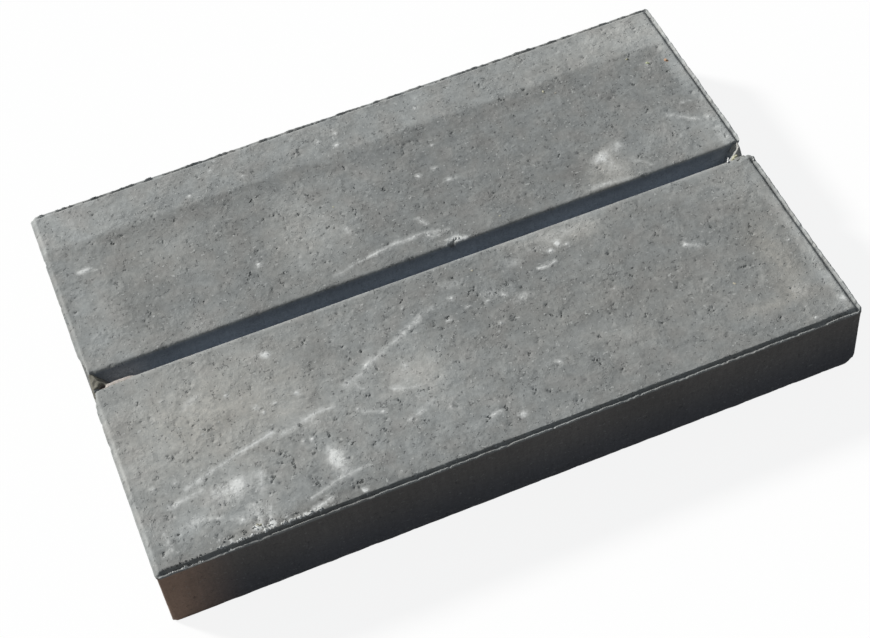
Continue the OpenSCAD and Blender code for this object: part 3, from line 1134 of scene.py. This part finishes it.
def knockChips(points):
    for place, direction, depth, reach in chips:
        out = np.array(direction) / np.linalg.norm(direction)
        away = points - np.array(place)
        beyond = away @ out + depth
        apart = np.linalg.norm(away, axis=1)
        near = (beyond > -0.5) & (apart < reach)
        rough = 1.1 * noiseAt(points[near], 3.2, 71)
        cut = np.maximum(beyond[near] + rough, 0) * (1 - smoothStep(0.5 * reach, reach, apart[near]))
        points[near] -= cut[:, None] * out
    return points


def softenBed(points):
    # Worn arris round the bed, and a bed that is a little uneven
    outward, size = outwardFrom(points)
    low = points[:, 2] < 1.2
    wear = 0.55 + 0.5 * noiseAt(points[low], 9, 72)
    rim = smoothStep(2.0, 3.0, size[low])
    points[low] -= outward[low] * (rim * wear * (1 - points[low, 2] / 1.4))[:, None]
    bed = points[:, 2] < 0.01
    lift = 0.12 + 0.12 * noiseAt(points[bed], 14, 73)
    points[bed, 2] += np.maximum(lift, 0) + rim[bed[low]] * 0.35
    return points


def openTo(points, depth):
    # Where loose grains show: on the face, more here and fewer there
    inside = (np.abs(points[:, 0]) < halfLength - 7) & (np.abs(points[:, 1]) < halfWidth - 5)
    crowd = np.clip(1 + 3.2 * noiseAt(points * np.array([1, 1, 0]), 24, 77), 0.1, 2.6)
    return np.where(inside & (depth > edgeLength + 1) & (depth < offFace), crowd, 0.0)


def makeStoneBody():
    stations = outlineStations()
    topPlan = makeTopPlan(stations)
    topPoints = topSurface(*np.array(topPlan["places"]).T)
    heights = topPoints[:len(stations), 2]
    lower = np.array(evenly(0.0, wholeOutline, 4.0))
    sidePlan = makeSidePlan(stations, heights, lower)
    places = np.array(sidePlan["places"])
    x, y, _, _ = outlineAt(places[:, 0])
    sidePoints = np.column_stack([x, y, places[:, 1]])
    bedPlan = makeBedPlan(lower)
    places = np.array(bedPlan["places"])
    bedPoints = np.column_stack([places, np.zeros(len(places))])
    print("net laid out:", len(topPoints), len(sidePoints), len(bedPoints))

    topFaces = triangles(topPlan)
    sideFaces = triangles(sidePlan)
    middles = np.array(sidePlan["places"])[sideFaces].mean(axis=1)
    sideFaces = sideFaces[belowTop(middles, stations, heights)] + len(topPoints)
    bedFaces = triangles(bedPlan)[:, ::-1] + len(topPoints) + len(sidePoints)
    points = np.vstack([topPoints, sidePoints, bedPoints])
    faces = np.vstack([topFaces, sideFaces, bedFaces])
    push = np.array(topPlan["push"] + sidePlan["push"] + bedPlan["push"])
    zone = np.repeat([0.0, 1.0, 1.0], [len(topPoints), len(sidePoints), len(bedPoints)])
    fromGroove = np.abs(np.array(topPlan["places"])[:, 1])
    depth = np.concatenate([fromGroove, np.full(len(sidePoints) + len(bedPoints), offFace)])

    _, first, joined = np.unique(np.round(points, 3), axis=0, return_index=True, return_inverse=True)
    points, push, zone, depth = points[first], push[first], zone[first], depth[first]
    faces = joined.reshape(-1)[faces]
    whole = (faces[:, 0] != faces[:, 1]) & (faces[:, 1] != faces[:, 2]) & (faces[:, 2] != faces[:, 0])
    faces = faces[whole]

    tone, beige, chalk = topMarks(points)
    # Painted light and shade along the rims and the near arris
    tone += rimPaintedLight(points[:, 0], points[:, 1])
    chalk *= 1 - 0.7 * (points[:, 2] < topFace - 0.6)
    upper = zone < 0.5
    # Painted shade inside cracks and nicks
    gougeShade = sum(gouge[3] * gougeWeight(gouge, points[:, 0], points[:, 1]) for gouge in gouges) * upper
    points = points + vertexNormals(points, faces) * push[:, None]
    points = softenBed(knockChips(leanRim(points)))

    flank = smoothStep(63.5, 66.5, points[:, 2]) * (points[:, 1] > 2 - halfWidth)
    mesh = bpy.data.meshes.new("stoneBody")
    mesh.from_pydata((points * mm).tolist(), [], faces.tolist())
    atFront = 1 - smoothStep(-199.5, -190, points[:, 1])
    values = {
        "tone": tone * (1 - zone * (1 - flank)),
        "beige": np.where(upper, beige, 0),
        "chalk": np.where(upper, chalk, 0),
        # the front side takes the darker side colour in full and the other sides a quarter of it: painted
        # shade on the front
        "side": zone * (1 - flank) * (1 - 0.75 * smoothStep(-199.7, -196, points[:, 1])),
        "groove": 1 - smoothStep(arrisStart, arrisStart + 1.2, depth),
        # painted shade: darker the deeper a pit, and inside cracks and nicks
        "paintedPitShade": np.clip(-push / 1.2 + gougeShade, 0, 1.6),
        # painted warm reflected light on the left end of the front side
        "paintedWarmBounce": zone * (1 - smoothStep(-300, -232, points[:, 0])) * atFront,
        "open": openTo(points, depth),
    }
    for name, value in values.items():
        addLayer(mesh, name, value)
    return addPiece("stoneBody", mesh)


# Concrete of the body

concrete = {
    "top": (0.223, 0.2295, 0.225, 1),
    "cool": (0.2195, 0.2292, 0.2285, 1),
    "warm": (0.2280, 0.2285, 0.2225, 1),
    "beige": (0.250, 0.241, 0.220, 1),
    # darker than the face: painted shade, which the front side wears in full
    "side": (0.136, 0.128, 0.122, 1),
    # painted shade: darker and bluer towards the bed
    "sideFootShade": (0.098, 0.100, 0.110, 1),
    # bluish: painted sky-lit shade of the groove
    "groove": (0.215, 0.238, 0.268, 1),
    # brown: painted warm reflected light
    "paintedWarmBounce": (0.330, 0.225, 0.170, 1),
    "chalk": (0.64, 0.65, 0.64, 1),
    "paintedPitShade": (0.045, 0.047, 0.050, 1),
    "pale": (0.46, 0.47, 0.46, 1),
    "roughness": 0.92,
    "specular": 0.2,
    "bumpDepth": 0.5,
}


def makeConcrete():
    paint, tree = newPaint("pressedConcrete")
    place = put(tree, "ShaderNodeTexCoord").outputs["Object"]
    layers = {
        name: put(tree, "ShaderNodeAttribute", attribute_name=name).outputs["Fac"]
        for name in ("tone", "beige", "chalk", "side", "groove", "paintedPitShade", "paintedWarmBounce")
    }
    swirl = grain(tree, place, 70, 3.0)
    mottle = grain(tree, place, 17, 4.0, 0.6)
    blot = grain(tree, place, 5, 3.0, 0.6)
    sand = grain(tree, place, 1.5, 2.0, 0.6)
    tint = grain(tree, moved(tree, place, (0.37, 0.21, 0.0)), 24, 3.0)
    dentNoise = grain(tree, moved(tree, place, (0.11, 0.53, 0.2)), 3.4, 2.0, 0.65)
    crowding = spanned(tree, mottle, 0.3, 0.7, -0.03, 0.045)
    dentsAndShade = spanned(tree, maths(tree, "ADD", dentNoise, crowding), 0.38, 0.31, smooth=True)
    paleNoise = grain(tree, moved(tree, place, (0.7, 0.13, 0.4)), 3.0, 1.5, 0.6)
    pale = spanned(tree, maths(tree, "SUBTRACT", paleNoise, crowding), 0.64, 0.73, smooth=True)
    apart = moved(tree, place, (0.3, 0.9, 0.6))
    rubbed = spanned(tree, grain(tree, apart, 28, 2.0), 0.42, 0.6, smooth=True)
    knobs = grain(tree, apart, 4.4, 3.0, 0.55)

    # Upper side: tone, mottling, sand, dents with painted shade in them, and pale aggregate
    value = maths(tree, "ADD", layers["tone"], 1.0)
    value = varied(tree, value, (swirl, 0.18), (mottle, 0.33), (blot, 0.32), (sand, 0.18))
    top = mixed(tree, spanned(tree, tint, 0.35, 0.55), concrete["cool"], concrete["top"])
    top = mixed(tree, spanned(tree, tint, 0.5, 0.72), top, concrete["warm"])
    veil = maths(tree, "MULTIPLY", layers["beige"], spanned(tree, blot, 0.3, 0.7, 0.6, 1.0), True)
    top = shaded(tree, mixed(tree, veil, top, concrete["beige"]), value)
    top = mixed(tree, maths(tree, "MULTIPLY", pale, 0.55), top, concrete["pale"])
    top = mixed(tree, maths(tree, "MULTIPLY", dentsAndShade, 0.38), top, concrete["paintedPitShade"])
    cloud = maths(tree, "ADD", mottle, maths(tree, "MULTIPLY", maths(tree, "ADD", blot, sand), 0.7))
    bloom = maths(tree, "MULTIPLY", layers["chalk"], spanned(tree, cloud, 0.85, 1.55, 0.25, 1.7))
    top = mixed(tree, spanned(tree, bloom, 0.04, 0.95), top, concrete["chalk"])

    # Upright sides: drag marks up the mould, painted shade darker and bluer at the foot, and a painted warm
    # reflection at the left end of the front side
    drawn = put(tree, "ShaderNodeMapping", {"Vector": place, "Scale": (1, 1, 0.08)}).outputs[0]
    drag = grain(tree, drawn, 2.4, 3.0, 0.6)
    height = put(tree, "ShaderNodeSeparateXYZ", {0: place}).outputs["Z"]
    value = varied(tree, 1.0, (swirl, 0.3), (drag, 0.22), (blot, 0.26), (sand, 0.25))
    # Painted shade: the side colour darkens and turns bluish towards the bed
    rise = spanned(tree, height, 8 * mm, 58 * mm, smooth=True)
    side = mixed(tree, rise, concrete["sideFootShade"], concrete["side"])
    side = mixed(tree, layers["paintedWarmBounce"], side, concrete["paintedWarmBounce"])
    side = shaded(tree, side, value)
    side = mixed(tree, maths(tree, "MULTIPLY", pale, 0.16), side, concrete["pale"])
    # Painted shade in the dents
    side = mixed(tree, maths(tree, "MULTIPLY", dentsAndShade, 0.3), side, concrete["paintedPitShade"])
    # Groove walls: painted light, about twice as light low down as just under the arris, over a bluish
    # painted shade
    paintedGrooveLight = spanned(tree, height, 47 * mm, 66 * mm, 1.98, 0.82)
    shade = shaded(tree, concrete["groove"], maths(tree, "MULTIPLY", value, paintedGrooveLight))

    colour = mixed(tree, layers["side"], top, side)
    colour = mixed(tree, layers["groove"], colour, shade)
    # Painted shade in pits, cracks and nicks
    colour = mixed(tree, maths(tree, "MULTIPLY", layers["paintedPitShade"], 0.42, True), colour, concrete["paintedPitShade"])

    worn = maths(tree, "MULTIPLY", knobs, rubbed)
    rough = weighted(tree, (sand, 0.42), (blot, 1.1), (dentsAndShade, -0.8), (pale, 0.35), (worn, 2.2))
    bump = put(tree, "ShaderNodeBump", {
        "Strength": 0.8, "Distance": concrete["bumpDepth"] * mm, "Height": rough}).outputs[0]
    shader = put(tree, "ShaderNodeBsdfPrincipled", {
        "Base Color": colour,
        "Normal": bump,
        "Roughness": concrete["roughness"],
        "Specular IOR Level": concrete["specular"],
    })
    put(tree, "ShaderNodeOutputMaterial", {"Surface": shader.outputs[0]})
    return paint


# Relief: the pressed surface is never quite flat

relief = {
    "Swell Height": 0.45,
    "Swell Size": 45.0,
    "Grit Height": 0.32,
    "Grit Size": 6.5,
    "Seed": 3,
}


def newTree(name, settings):
    # A tree with one named input for each setting, and one for the material
    tree = bpy.data.node_groups.new(name, "GeometryNodeTree")
    kinds = {"Geometry": "NodeSocketGeometry"}
    kinds.update({label: "NodeSocketInt" if label == "Seed" else "NodeSocketFloat" for label in settings})
    kinds["Material"] = "NodeSocketMaterial"
    for label, kind in kinds.items():
        tree.interface.new_socket(label, in_out="INPUT", socket_type=kind)
    tree.interface.new_socket("Geometry", in_out="OUTPUT", socket_type="NodeSocketGeometry")
    return tree, put(tree, "NodeGroupInput").outputs


def endTree(tree, geometry, material):
    solid = put(tree, "GeometryNodeRealizeInstances", {"Geometry": geometry}).outputs[0]
    painted = put(tree, "GeometryNodeSetMaterial", {"Geometry": solid, "Material": material}).outputs[0]
    put(tree, "NodeGroupOutput", {"Geometry": painted})


def shifted(tree, geometry, offset):
    return put(tree, "GeometryNodeSetPosition", {"Geometry": geometry, "Offset": offset}).outputs[0]


def reliefTree():
    tree, given = newTree("castRelief", relief)
    place = put(tree, "GeometryNodeInputPosition").outputs[0]
    heights = []
    for name in ("Swell", "Grit"):
        scale = maths(tree, "DIVIDE", 1.0, given[name + " Size"])
        wave = put(tree, "ShaderNodeTexNoise", {
            "Vector": place, "W": given["Seed"], "Scale": scale, "Detail": 2.0}, noise_dimensions="4D")
        level = maths(tree, "SUBTRACT", wave.outputs["Fac"], 0.5)
        heights.append(maths(tree, "MULTIPLY", level, given[name + " Height"]))
    normal = put(tree, "GeometryNodeInputNormal").outputs[0]
    pushed = shifted(tree, given["Geometry"], scaled(tree, normal, maths(tree, "ADD", *heights)))
    endTree(tree, pushed, given["Material"])
    return tree


def applyTree(piece, tree, values):
    # Runs a tree on a piece and keeps the result as a plain mesh
    modifier = piece.modifiers.new(tree.name, "NODES")
    modifier.node_group = tree
    for item in tree.interface.items_tree:
        if item.in_out == "INPUT" and item.name in values:
            modifier[item.identifier] = values[item.name]
    graph = bpy.context.evaluated_depsgraph_get()
    mesh = bpy.data.meshes.new_from_object(
        piece.evaluated_get(graph), preserve_all_data_layers=True, depsgraph=graph)
    piece.modifiers.remove(modifier)
    piece.data = mesh
    mesh.name = piece.name


def inMetres(values):
    return {name: value * mm if name != "Seed" else value for name, value in values.items()}


# Pale grains that stand out of the upper side, and crumbs along edges and marks

grains = {
    "Density": 7600.0,      # for each square metre
    "Smallest": 0.32,
    "Largest": 1.0,
    "Sunk": 0.35,           # of a grain's size
    "Seed": 5,
}

crumbs = {
    "Spacing": 0.75,
    "Seed": 9,
}

# Crumbs: points along the line at the height of the surface, size, share kept, scatter, colour
paleCrumb = (0.50, 0.51, 0.50)
sandCrumb = (0.50, 0.48, 0.38)
greyCrumb = (0.30, 0.30, 0.29)
# near black: painted shade strewn along the bevels that lie in shade
shadeCrumb = (0.07, 0.07, 0.07)
whiteCrumb = (0.66, 0.66, 0.66)
yellowCrumb = (0.46, 0.45, 0.33)

crumbLines = [
    ([(-249, -195.6, 69.9), (-205, -195.5, 69.9), (-164, -195.5, 69.9)], 1.35, 0.40, 0.4, paleCrumb),
    ([(-166, -195.9, 69.9), (-128, -195.8, 69.9)], 0.5, 0.12, 0.4, paleCrumb),
    ([(-246, -191.5, 70), (-185, -191.5, 70), (-140, -193, 70)], 0.6, 0.20, 2.6, greyCrumb),
    ([(-219, -190.5, 70), (-212, -191, 70), (-205, -192.5, 70)], 0.95, 0.5, 1.6, paleCrumb),
    ([(-215, -188.5, 70), (-213, -189.5, 70)], 1.3, 0.9, 0.8, sandCrumb),
    ([(-294, -11.5, 69.8), (-290, -13, 70), (-286, -12.5, 70)], 0.6, 0.45, 0.7, paleCrumb),
    ([(-285.5, -10.5, 69.5), (-280, -10.8, 69.5), (-270, -10.5, 69.6)], 0.5, 0.5, 0.5, sandCrumb),
    ([(279.6, -5.2, 69.8), (278.4, -7.2, 69.4), (277.2, -9.2, 70.0)], 0.95, 1.0, 0.1, whiteCrumb),
    ([(282.6, -7.4, 68.4), (284.9, -6.4, 68.0), (287.1, -5.4, 67.4)], 1.7, 1.0, 0.8, yellowCrumb),
    ([(298, -13, 69.2), (299, -16, 68.8)], 0.7, 0.6, 0.5, paleCrumb),
    ([(26, 13, 70), (36, 12.5, 70)], 0.7, 0.35, 1.6, paleCrumb),
    ([(-72, 11, 69.8), (60, 11, 69.8)], 0.4, 0.05, 0.6, greyCrumb),
    ([(-280, -11, 69.8), (280, -11, 69.8)], 0.38, 0.05, 0.5, greyCrumb),
    ([(296.6, -190, 67.6), (296.6, -20, 67.6)], 0.55, 0.10, 0.5, greyCrumb),
    ([(296.6, 20, 67.6), (296.6, 192, 67.6)], 0.55, 0.10, 0.5, greyCrumb),
    ([(-290, -198.3, 67.0), (290, -198.3, 67.0)], 0.45, 0.05, 0.4, shadeCrumb),
    ([(-291, -200.4, 68.4), (-262, -200.4, 68.4)], 0.55, 0.3, 0.4, paleCrumb),
    ([(-279, -200.4, 68.6), (-276, -200.4, 68.6)], 0.95, 0.9, 0.4, paleCrumb),
    ([(-240, -200.3, 68.6), (-238, -200.3, 68.6)], 0.85, 0.9, 0.3, paleCrumb),
    ([(-294, -196.0, 69.5), (-262, -195.8, 69.5)], 0.75, 0.6, 0.6, shadeCrumb),
    ([(-262, -196.2, 69.5), (290, -196.2, 69.5)], 0.55, 0.14, 0.5, shadeCrumb),
    ([(-285, 197.6, 67.6), (290, 197.6, 67.6)], 0.6, 0.08, 0.5, shadeCrumb),
]

fleckSunk = 0.45

flecks = [          # x, y, size, colour: bits of other aggregate
    (254, 144, 1.1, (0.50, 0.48, 0.33)), (268, 132.5, 4.4, (0.47, 0.50, 0.32)),
    (269, 134.5, 1.2, (0.47, 0.49, 0.36)), (168, 141, 1.6, (0.50, 0.48, 0.36)),
    (219.5, -132, 1.4, (0.55, 0.50, 0.38)), (285, 128, 1.8, (0.40, 0.25, 0.165)),
    (-212.5, -189, 1.5, (0.46, 0.45, 0.33)), (30, -26, 1.1, (0.50, 0.47, 0.38)),
    (-150, -85, 2.0, (0.48, 0.46, 0.38)), (75, 20, 1.0, (0.46, 0.45, 0.36)),
    (-52, 93, 1.1, (0.46, 0.45, 0.32)), (178, 134, 1.0, (0.48, 0.44, 0.38)),
]


def lump(tree, size, seed, faces=1):
    # One knobbly grain
    ball = put(tree, "GeometryNodeMeshIcoSphere", {"Radius": size, "Subdivisions": faces}).outputs[0]
    place = put(tree, "GeometryNodeInputPosition").outputs[0]
    wave = put(tree, "ShaderNodeTexNoise", {
        "Vector": place, "W": float(seed), "Scale": 0.75 / size, "Detail": 1.0}, noise_dimensions="4D")
    knob = spanned(tree, wave.outputs["Fac"], 0.25, 0.75, -0.45, 0.45)
    return shifted(tree, ball, scaled(tree, place, knob))


def lumps(tree, faces):
    # A few different grains to pick from, each about one unit across
    several = put(tree, "GeometryNodeGeometryToInstance")
    for seed in (1, 4, 8, 13):
        tree.links.new(lump(tree, 0.5, seed, faces), several.inputs[0])
    return several.outputs[0]


def randomly(tree, kind, low, high, seed, shift):
    # A random number or vector for each point
    slot = 0 if kind == "FLOAT_VECTOR" else 2
    drawn = maths(tree, "ADD", seed, float(shift))
    chosen = put(tree, "FunctionNodeRandomValue", {slot: low, slot + 1: high, "Seed": drawn}, data_type=kind)
    return chosen.outputs[0 if kind == "FLOAT_VECTOR" else 1]


def strewn(tree, points, size, seed, faces):
    # Grains on the points, each turned and pressed its own way
    turn = randomly(tree, "FLOAT_VECTOR", (0, 0, 0), (6.28, 6.28, 6.28), seed, 1)
    shape = randomly(tree, "FLOAT_VECTOR", (0.75, 0.6, 0.5), (1.3, 1.0, 0.9), seed, 2)
    which = randomly(tree, "FLOAT", 0.0, 3.99, seed, 3)
    return put(tree, "GeometryNodeInstanceOnPoints", {
        "Points": points, "Instance": lumps(tree, faces), "Pick Instance": True,
        "Instance Index": maths(tree, "FLOOR", which),
        "Rotation": turn, "Scale": scaled(tree, shape, size)}).outputs[0]


def named(tree, name, kind="FLOAT"):
    return put(tree, "GeometryNodeInputNamedAttribute", {"Name": name}, data_type=kind).outputs[0]


def stored(tree, geometry, name, value, kind="FLOAT", domain="INSTANCE"):
    return put(tree, "GeometryNodeStoreNamedAttribute", {
        "Geometry": geometry, "Name": name, "Value": value}, data_type=kind, domain=domain).outputs[0]


def grainTree():
    tree, given = newTree("paleGrains", grains)
    seed = given["Seed"]
    density = maths(tree, "MULTIPLY", named(tree, "open"), given["Density"])
    found = put(tree, "GeometryNodeDistributePointsOnFaces", {
        "Mesh": given["Geometry"], "Density": density, "Seed": seed}, distribute_method="RANDOM")
    share = maths(tree, "POWER", randomly(tree, "FLOAT", 0.0, 1.0, seed, 4), 2.5)
    span = maths(tree, "SUBTRACT", given["Largest"], given["Smallest"])
    size = maths(tree, "MULTIPLY_ADD", share, span)
    tree.links.new(given["Smallest"], size.node.inputs[2])
    depth = maths(tree, "MULTIPLY", size, maths(tree, "MULTIPLY", given["Sunk"], -1.0))
    points = stored(tree, found.outputs["Points"], "width", size, domain="POINT")
    points = shifted(tree, points, scaled(tree, found.outputs["Normal"], depth))
    laid = strewn(tree, points, named(tree, "width"), seed, 1)
    light = maths(tree, "POWER", randomly(tree, "FLOAT", 0.0, 1.0, seed, 5), 1.6)
    shade = mixed(tree, light, (*greyCrumb, 1), (*paleCrumb, 1))
    laid = stored(tree, laid, "tint", shade, "FLOAT_COLOR")
    endTree(tree, laid, given["Material"])
    return tree


def crumbTree():
    tree, given = newTree("looseCrumbs", crumbs)
    seed = given["Seed"]
    lines = put(tree, "GeometryNodeMeshToCurve", {"Mesh": given["Geometry"]}).outputs[0]
    points = put(tree, "GeometryNodeCurveToPoints", {
        "Curve": lines, "Length": given["Spacing"]}, mode="LENGTH").outputs["Points"]
    gone = put(tree, "FunctionNodeCompare", {
        0: randomly(tree, "FLOAT", 0.0, 1.0, seed, 6), 1: named(tree, "kept")},
        data_type="FLOAT", operation="GREATER_THAN")
    points = put(tree, "GeometryNodeDeleteGeometry", {
        "Geometry": points, "Selection": gone.outputs[0]}, domain="POINT").outputs[0]
    shift = randomly(tree, "FLOAT_VECTOR", (-1, -1, -0.12), (1, 1, 0.12), seed, 7)
    points = shifted(tree, points, scaled(tree, shift, named(tree, "scatter")))
    size = maths(tree, "MULTIPLY", named(tree, "width"), randomly(tree, "FLOAT", 0.55, 1.5, seed, 8))
    laid = strewn(tree, points, size, seed, 2)
    endTree(tree, laid, given["Material"])
    return tree


def crumbPaths():
    # Lines that the crumbs follow, and a short one for each fleck
    lines = list(crumbLines)
    for x, y, size, colour in flecks:
        z = topFace - size * 0.25 - fleckSunk
        lines.append(([(x, y, z), (x + crumbs["Spacing"] * 0.9, y, z)], size, 2.0, 0.3, colour))
    places, edges, layers = [], [], {"width": [], "kept": [], "scatter": [], "tint": []}
    for points, size, kept, scatter, colour in lines:
        for index, place in enumerate(points):
            if index:
                edges.append((len(places) - 1, len(places)))
            places.append(tuple(value * mm for value in place))
            layers["width"].append(size * 2 * mm)
            layers["kept"].append(kept)
            layers["scatter"].append(scatter * mm)
            layers["tint"] += [*colour, 1.0]
    mesh = bpy.data.meshes.new("crumbs")
    mesh.from_pydata(places, edges, [])
    for name, values in layers.items():
        addLayer(mesh, name, values, "FLOAT_COLOR" if name == "tint" else "FLOAT")
    return addPiece("crumbs", mesh)


def makeCrumbPaint():
    paint, tree = newPaint("looseGrains")
    place = put(tree, "ShaderNodeTexCoord").outputs["Object"]
    tint = put(tree, "ShaderNodeAttribute", attribute_name="tint").outputs["Color"]
    fleck = grain(tree, place, 0.8, 2.0)
    tint = shaded(tree, tint, varied(tree, 1.0, (fleck, 0.5), (grain(tree, place, 3.0, 2.0), 0.3)))
    bump = put(tree, "ShaderNodeBump", {"Strength": 0.5, "Distance": 0.3 * mm, "Height": fleck}).outputs[0]
    shader = put(tree, "ShaderNodeBsdfPrincipled", {
        "Base Color": tint, "Normal": bump, "Roughness": 0.85, "Specular IOR Level": 0.25})
    put(tree, "ShaderNodeOutputMaterial", {"Surface": shader.outputs[0]})
    return paint


# Crumbled concrete in the groove's two ends, as a bank with a shelf along the near arris.
# Distances in count from a fill's own outer edge, whose top stands in from the stone's end
# by recess. crest is the bank's ridge: place across, distance in and height. From it the
# bank falls by inward and outward, per millimetre. shelf is the distances in between which
# the shelf is level, its edge across and its height. A hollow is its distance in, its place
# across, two half sizes and its depth. far is where the fill ends across.

endFills = {
    "grooveFillLeft": {
        "side": -1, "recess": 2.4, "far": 9.0, "seed": 81, "rough": 0.6, "inward": 1.3, "outward": 0.0,
        # Painted light: this end's bank, turned from the light, is painted dark, and its shelf along the
        # near arris is painted light
        "colour": (0.165, 0.158, 0.132), "low": (0.17, 0.17, 0.17), "shelfColour": (0.46, 0.42, 0.39),
        "holeShade": (0.12, 0.100, 0.094),
        "crest": [
            (-9, 15, 69.2), (-6, 11, 68.6), (-3, 8.2, 68.4), (0, 6.0, 68.2), (3, 4.6, 68.3),
            (6, 3.4, 68.5), (9, 2.4, 69.0),
        ],
        "shelf": (8.0, 31.0, -7.3, 69.7),
        "hollows": [(8.0, -6.6, 2.3, 2.2, 7.5), (4.5, -8.3, 2.6, 1.0, 4.0), (1.0, -9.5, 2.6, 1.1, 4.5)],
    },
    "grooveFillRight": {
        "side": 1, "recess": 4.2, "far": 11.8, "seed": 86, "rough": 0.6, "inward": 1.0, "outward": 0.9,
        # Painted light: this end's bank, in the light, is painted pale, and bluish grey low down like the
        # groove's painted shade
        "colour": (0.34, 0.337, 0.32), "low": (0.26, 0.28, 0.30), "shelfColour": (0.26, 0.262, 0.25),
        "holeShade": (0.08, 0.08, 0.08),
        "crest": [
            (-9, 13.6, 64), (-6, 13.2, 67.3), (-4, 11.4, 66.9), (-2, 9.1, 66.6), (0.3, 5.8, 66.8),
            (2.7, 2.8, 67.4), (5, 0.5, 68.4), (8, 0.2, 69.0), (11, 0.1, 69.2),
        ],
        "shelf": (2.5, 10.5, -7.4, 69.7),
        "hollows": [],
    },
}

fillReach = 46.0            # length of a fill along the groove
fillFoot = 43.0             # height of its underside, below the groove's floor
fillNear = -10.8            # where it starts across
fillTop = 69.8              # height that it stays below


def makeEndFill(pieceName, fill):
    side = fill["side"]
    inward = np.concatenate([np.arange(0, 16, 0.7), np.arange(16, fillReach, 1.3)])
    across = np.arange(fillNear, fill["far"], 0.72)
    e, y = [grid.ravel() for grid in np.meshgrid(inward, across, indexing="ij")]
    flat = np.column_stack([e, y, np.zeros(len(e))])
    at, reach, high = np.array(fill["crest"]).T
    past = e - np.interp(y, at, reach)
    bank = np.interp(y, at, high) - fill["inward"] * np.maximum(past, 0)
    bank = bank - fill["outward"] * np.maximum(-past, 0)
    start, end, edge, level = fill["shelf"]
    shelf = level - 3.0 * np.maximum(y - edge, 0)
    shelf = shelf - 1.2 * np.maximum(start - e, 0) - 0.5 * np.maximum(e - end, 0)
    hollow = np.zeros(len(e))
    for middle, aside, halfE, halfY, depth in fill["hollows"]:
        hollow += depth * np.exp(-((e - middle) / halfE) ** 2 - ((y - aside) / halfY) ** 2)
    rough = fill["rough"] * (noiseAt(flat, 3.4, fill["seed"]) + 0.7 * noiseAt(flat, 1.7, fill["seed"] + 1))
    top = np.clip(np.maximum(bank, shelf) - hollow + rough, fillFoot + 1, fillTop)
    out = halfLength - fill["recess"] - e + 0.3 * noiseAt(flat, 5, fill["seed"] + 2)
    rows, columns = len(inward), len(across)
    upper = np.column_stack([side * out, y, top])
    lower = np.column_stack([side * (out + fill["recess"] - 0.3), y, np.full(len(e), fillFoot)])
    index = np.arange(rows * columns).reshape(rows, columns)
    quads = np.column_stack([part.ravel() for part in (
        index[:-1, :-1], index[1:, :-1], index[1:, 1:], index[:-1, 1:])])
    rim = np.concatenate([index[0, :-1], index[:-1, -1], index[-1, :0:-1], index[:0:-1, 0]])
    count = rows * columns
    walls = np.column_stack([rim, np.roll(rim, -1), np.roll(rim, -1) + count, rim + count])
    if side > 0:
        quads, walls = quads[:, ::-1], walls[:, ::-1]
    faces = np.vstack([quads, quads[:, ::-1] + count, walls])
    mesh = bpy.data.meshes.new(pieceName)
    mesh.from_pydata((np.vstack([upper, lower]) * mm).tolist(), [], faces.tolist())
    # Colours by height, on the shelf and in hollows: they carry the painted light and shade set in each fill
    height = smoothStep(58, 65, top)[:, None]
    onShelf = smoothStep(-0.4, 0.4, shelf - bank)[:, None]
    # Painted shade in the hollows
    inHole = smoothStep(1.0, 3.5, hollow)[:, None]
    tint = np.array(fill["low"])
    for share, name in ((height, "colour"), (onShelf, "shelfColour"), (inHole, "holeShade")):
        tint = tint * (1 - share) + np.array(fill[name]) * share
    tint = np.column_stack([np.vstack([tint, tint]), np.ones(2 * count)])
    addLayer(mesh, "tint", tint, "FLOAT_COLOR")
    mesh.materials.append(crumbPaint)
    mesh.shade_smooth()
    return addPiece(pieceName, mesh)


sharpAngle = 52             # degrees past which an edge of the body looks sharp

concretePaint = makeConcrete()
body = makeStoneBody()
applyTree(body, reliefTree(), {**inMetres(relief), "Material": concretePaint})
body.data.shade_smooth()
body.data.set_sharp_from_angle(angle=math.radians(sharpAngle))
print("body ready:", len(body.data.polygons), "faces")

crumbPaint = makeCrumbPaint()
grainPiece = addPiece("grains", body.data.copy())
applyTree(grainPiece, grainTree(), {**inMetres(grains), **{
    name: grains[name] for name in ("Density", "Sunk")}, "Material": crumbPaint})
crumbPiece = crumbPaths()
applyTree(crumbPiece, crumbTree(), {**inMetres(crumbs), "Material": crumbPaint})
fills = [makeEndFill(name, fill) for name, fill in endFills.items()]
print("grains and crumbs ready:", len(grainPiece.data.polygons), len(crumbPiece.data.polygons), "faces")

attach(body, "root")
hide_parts("coping_stone")
for piece in [grainPiece, crumbPiece, *fills]:
    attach(piece, "root")
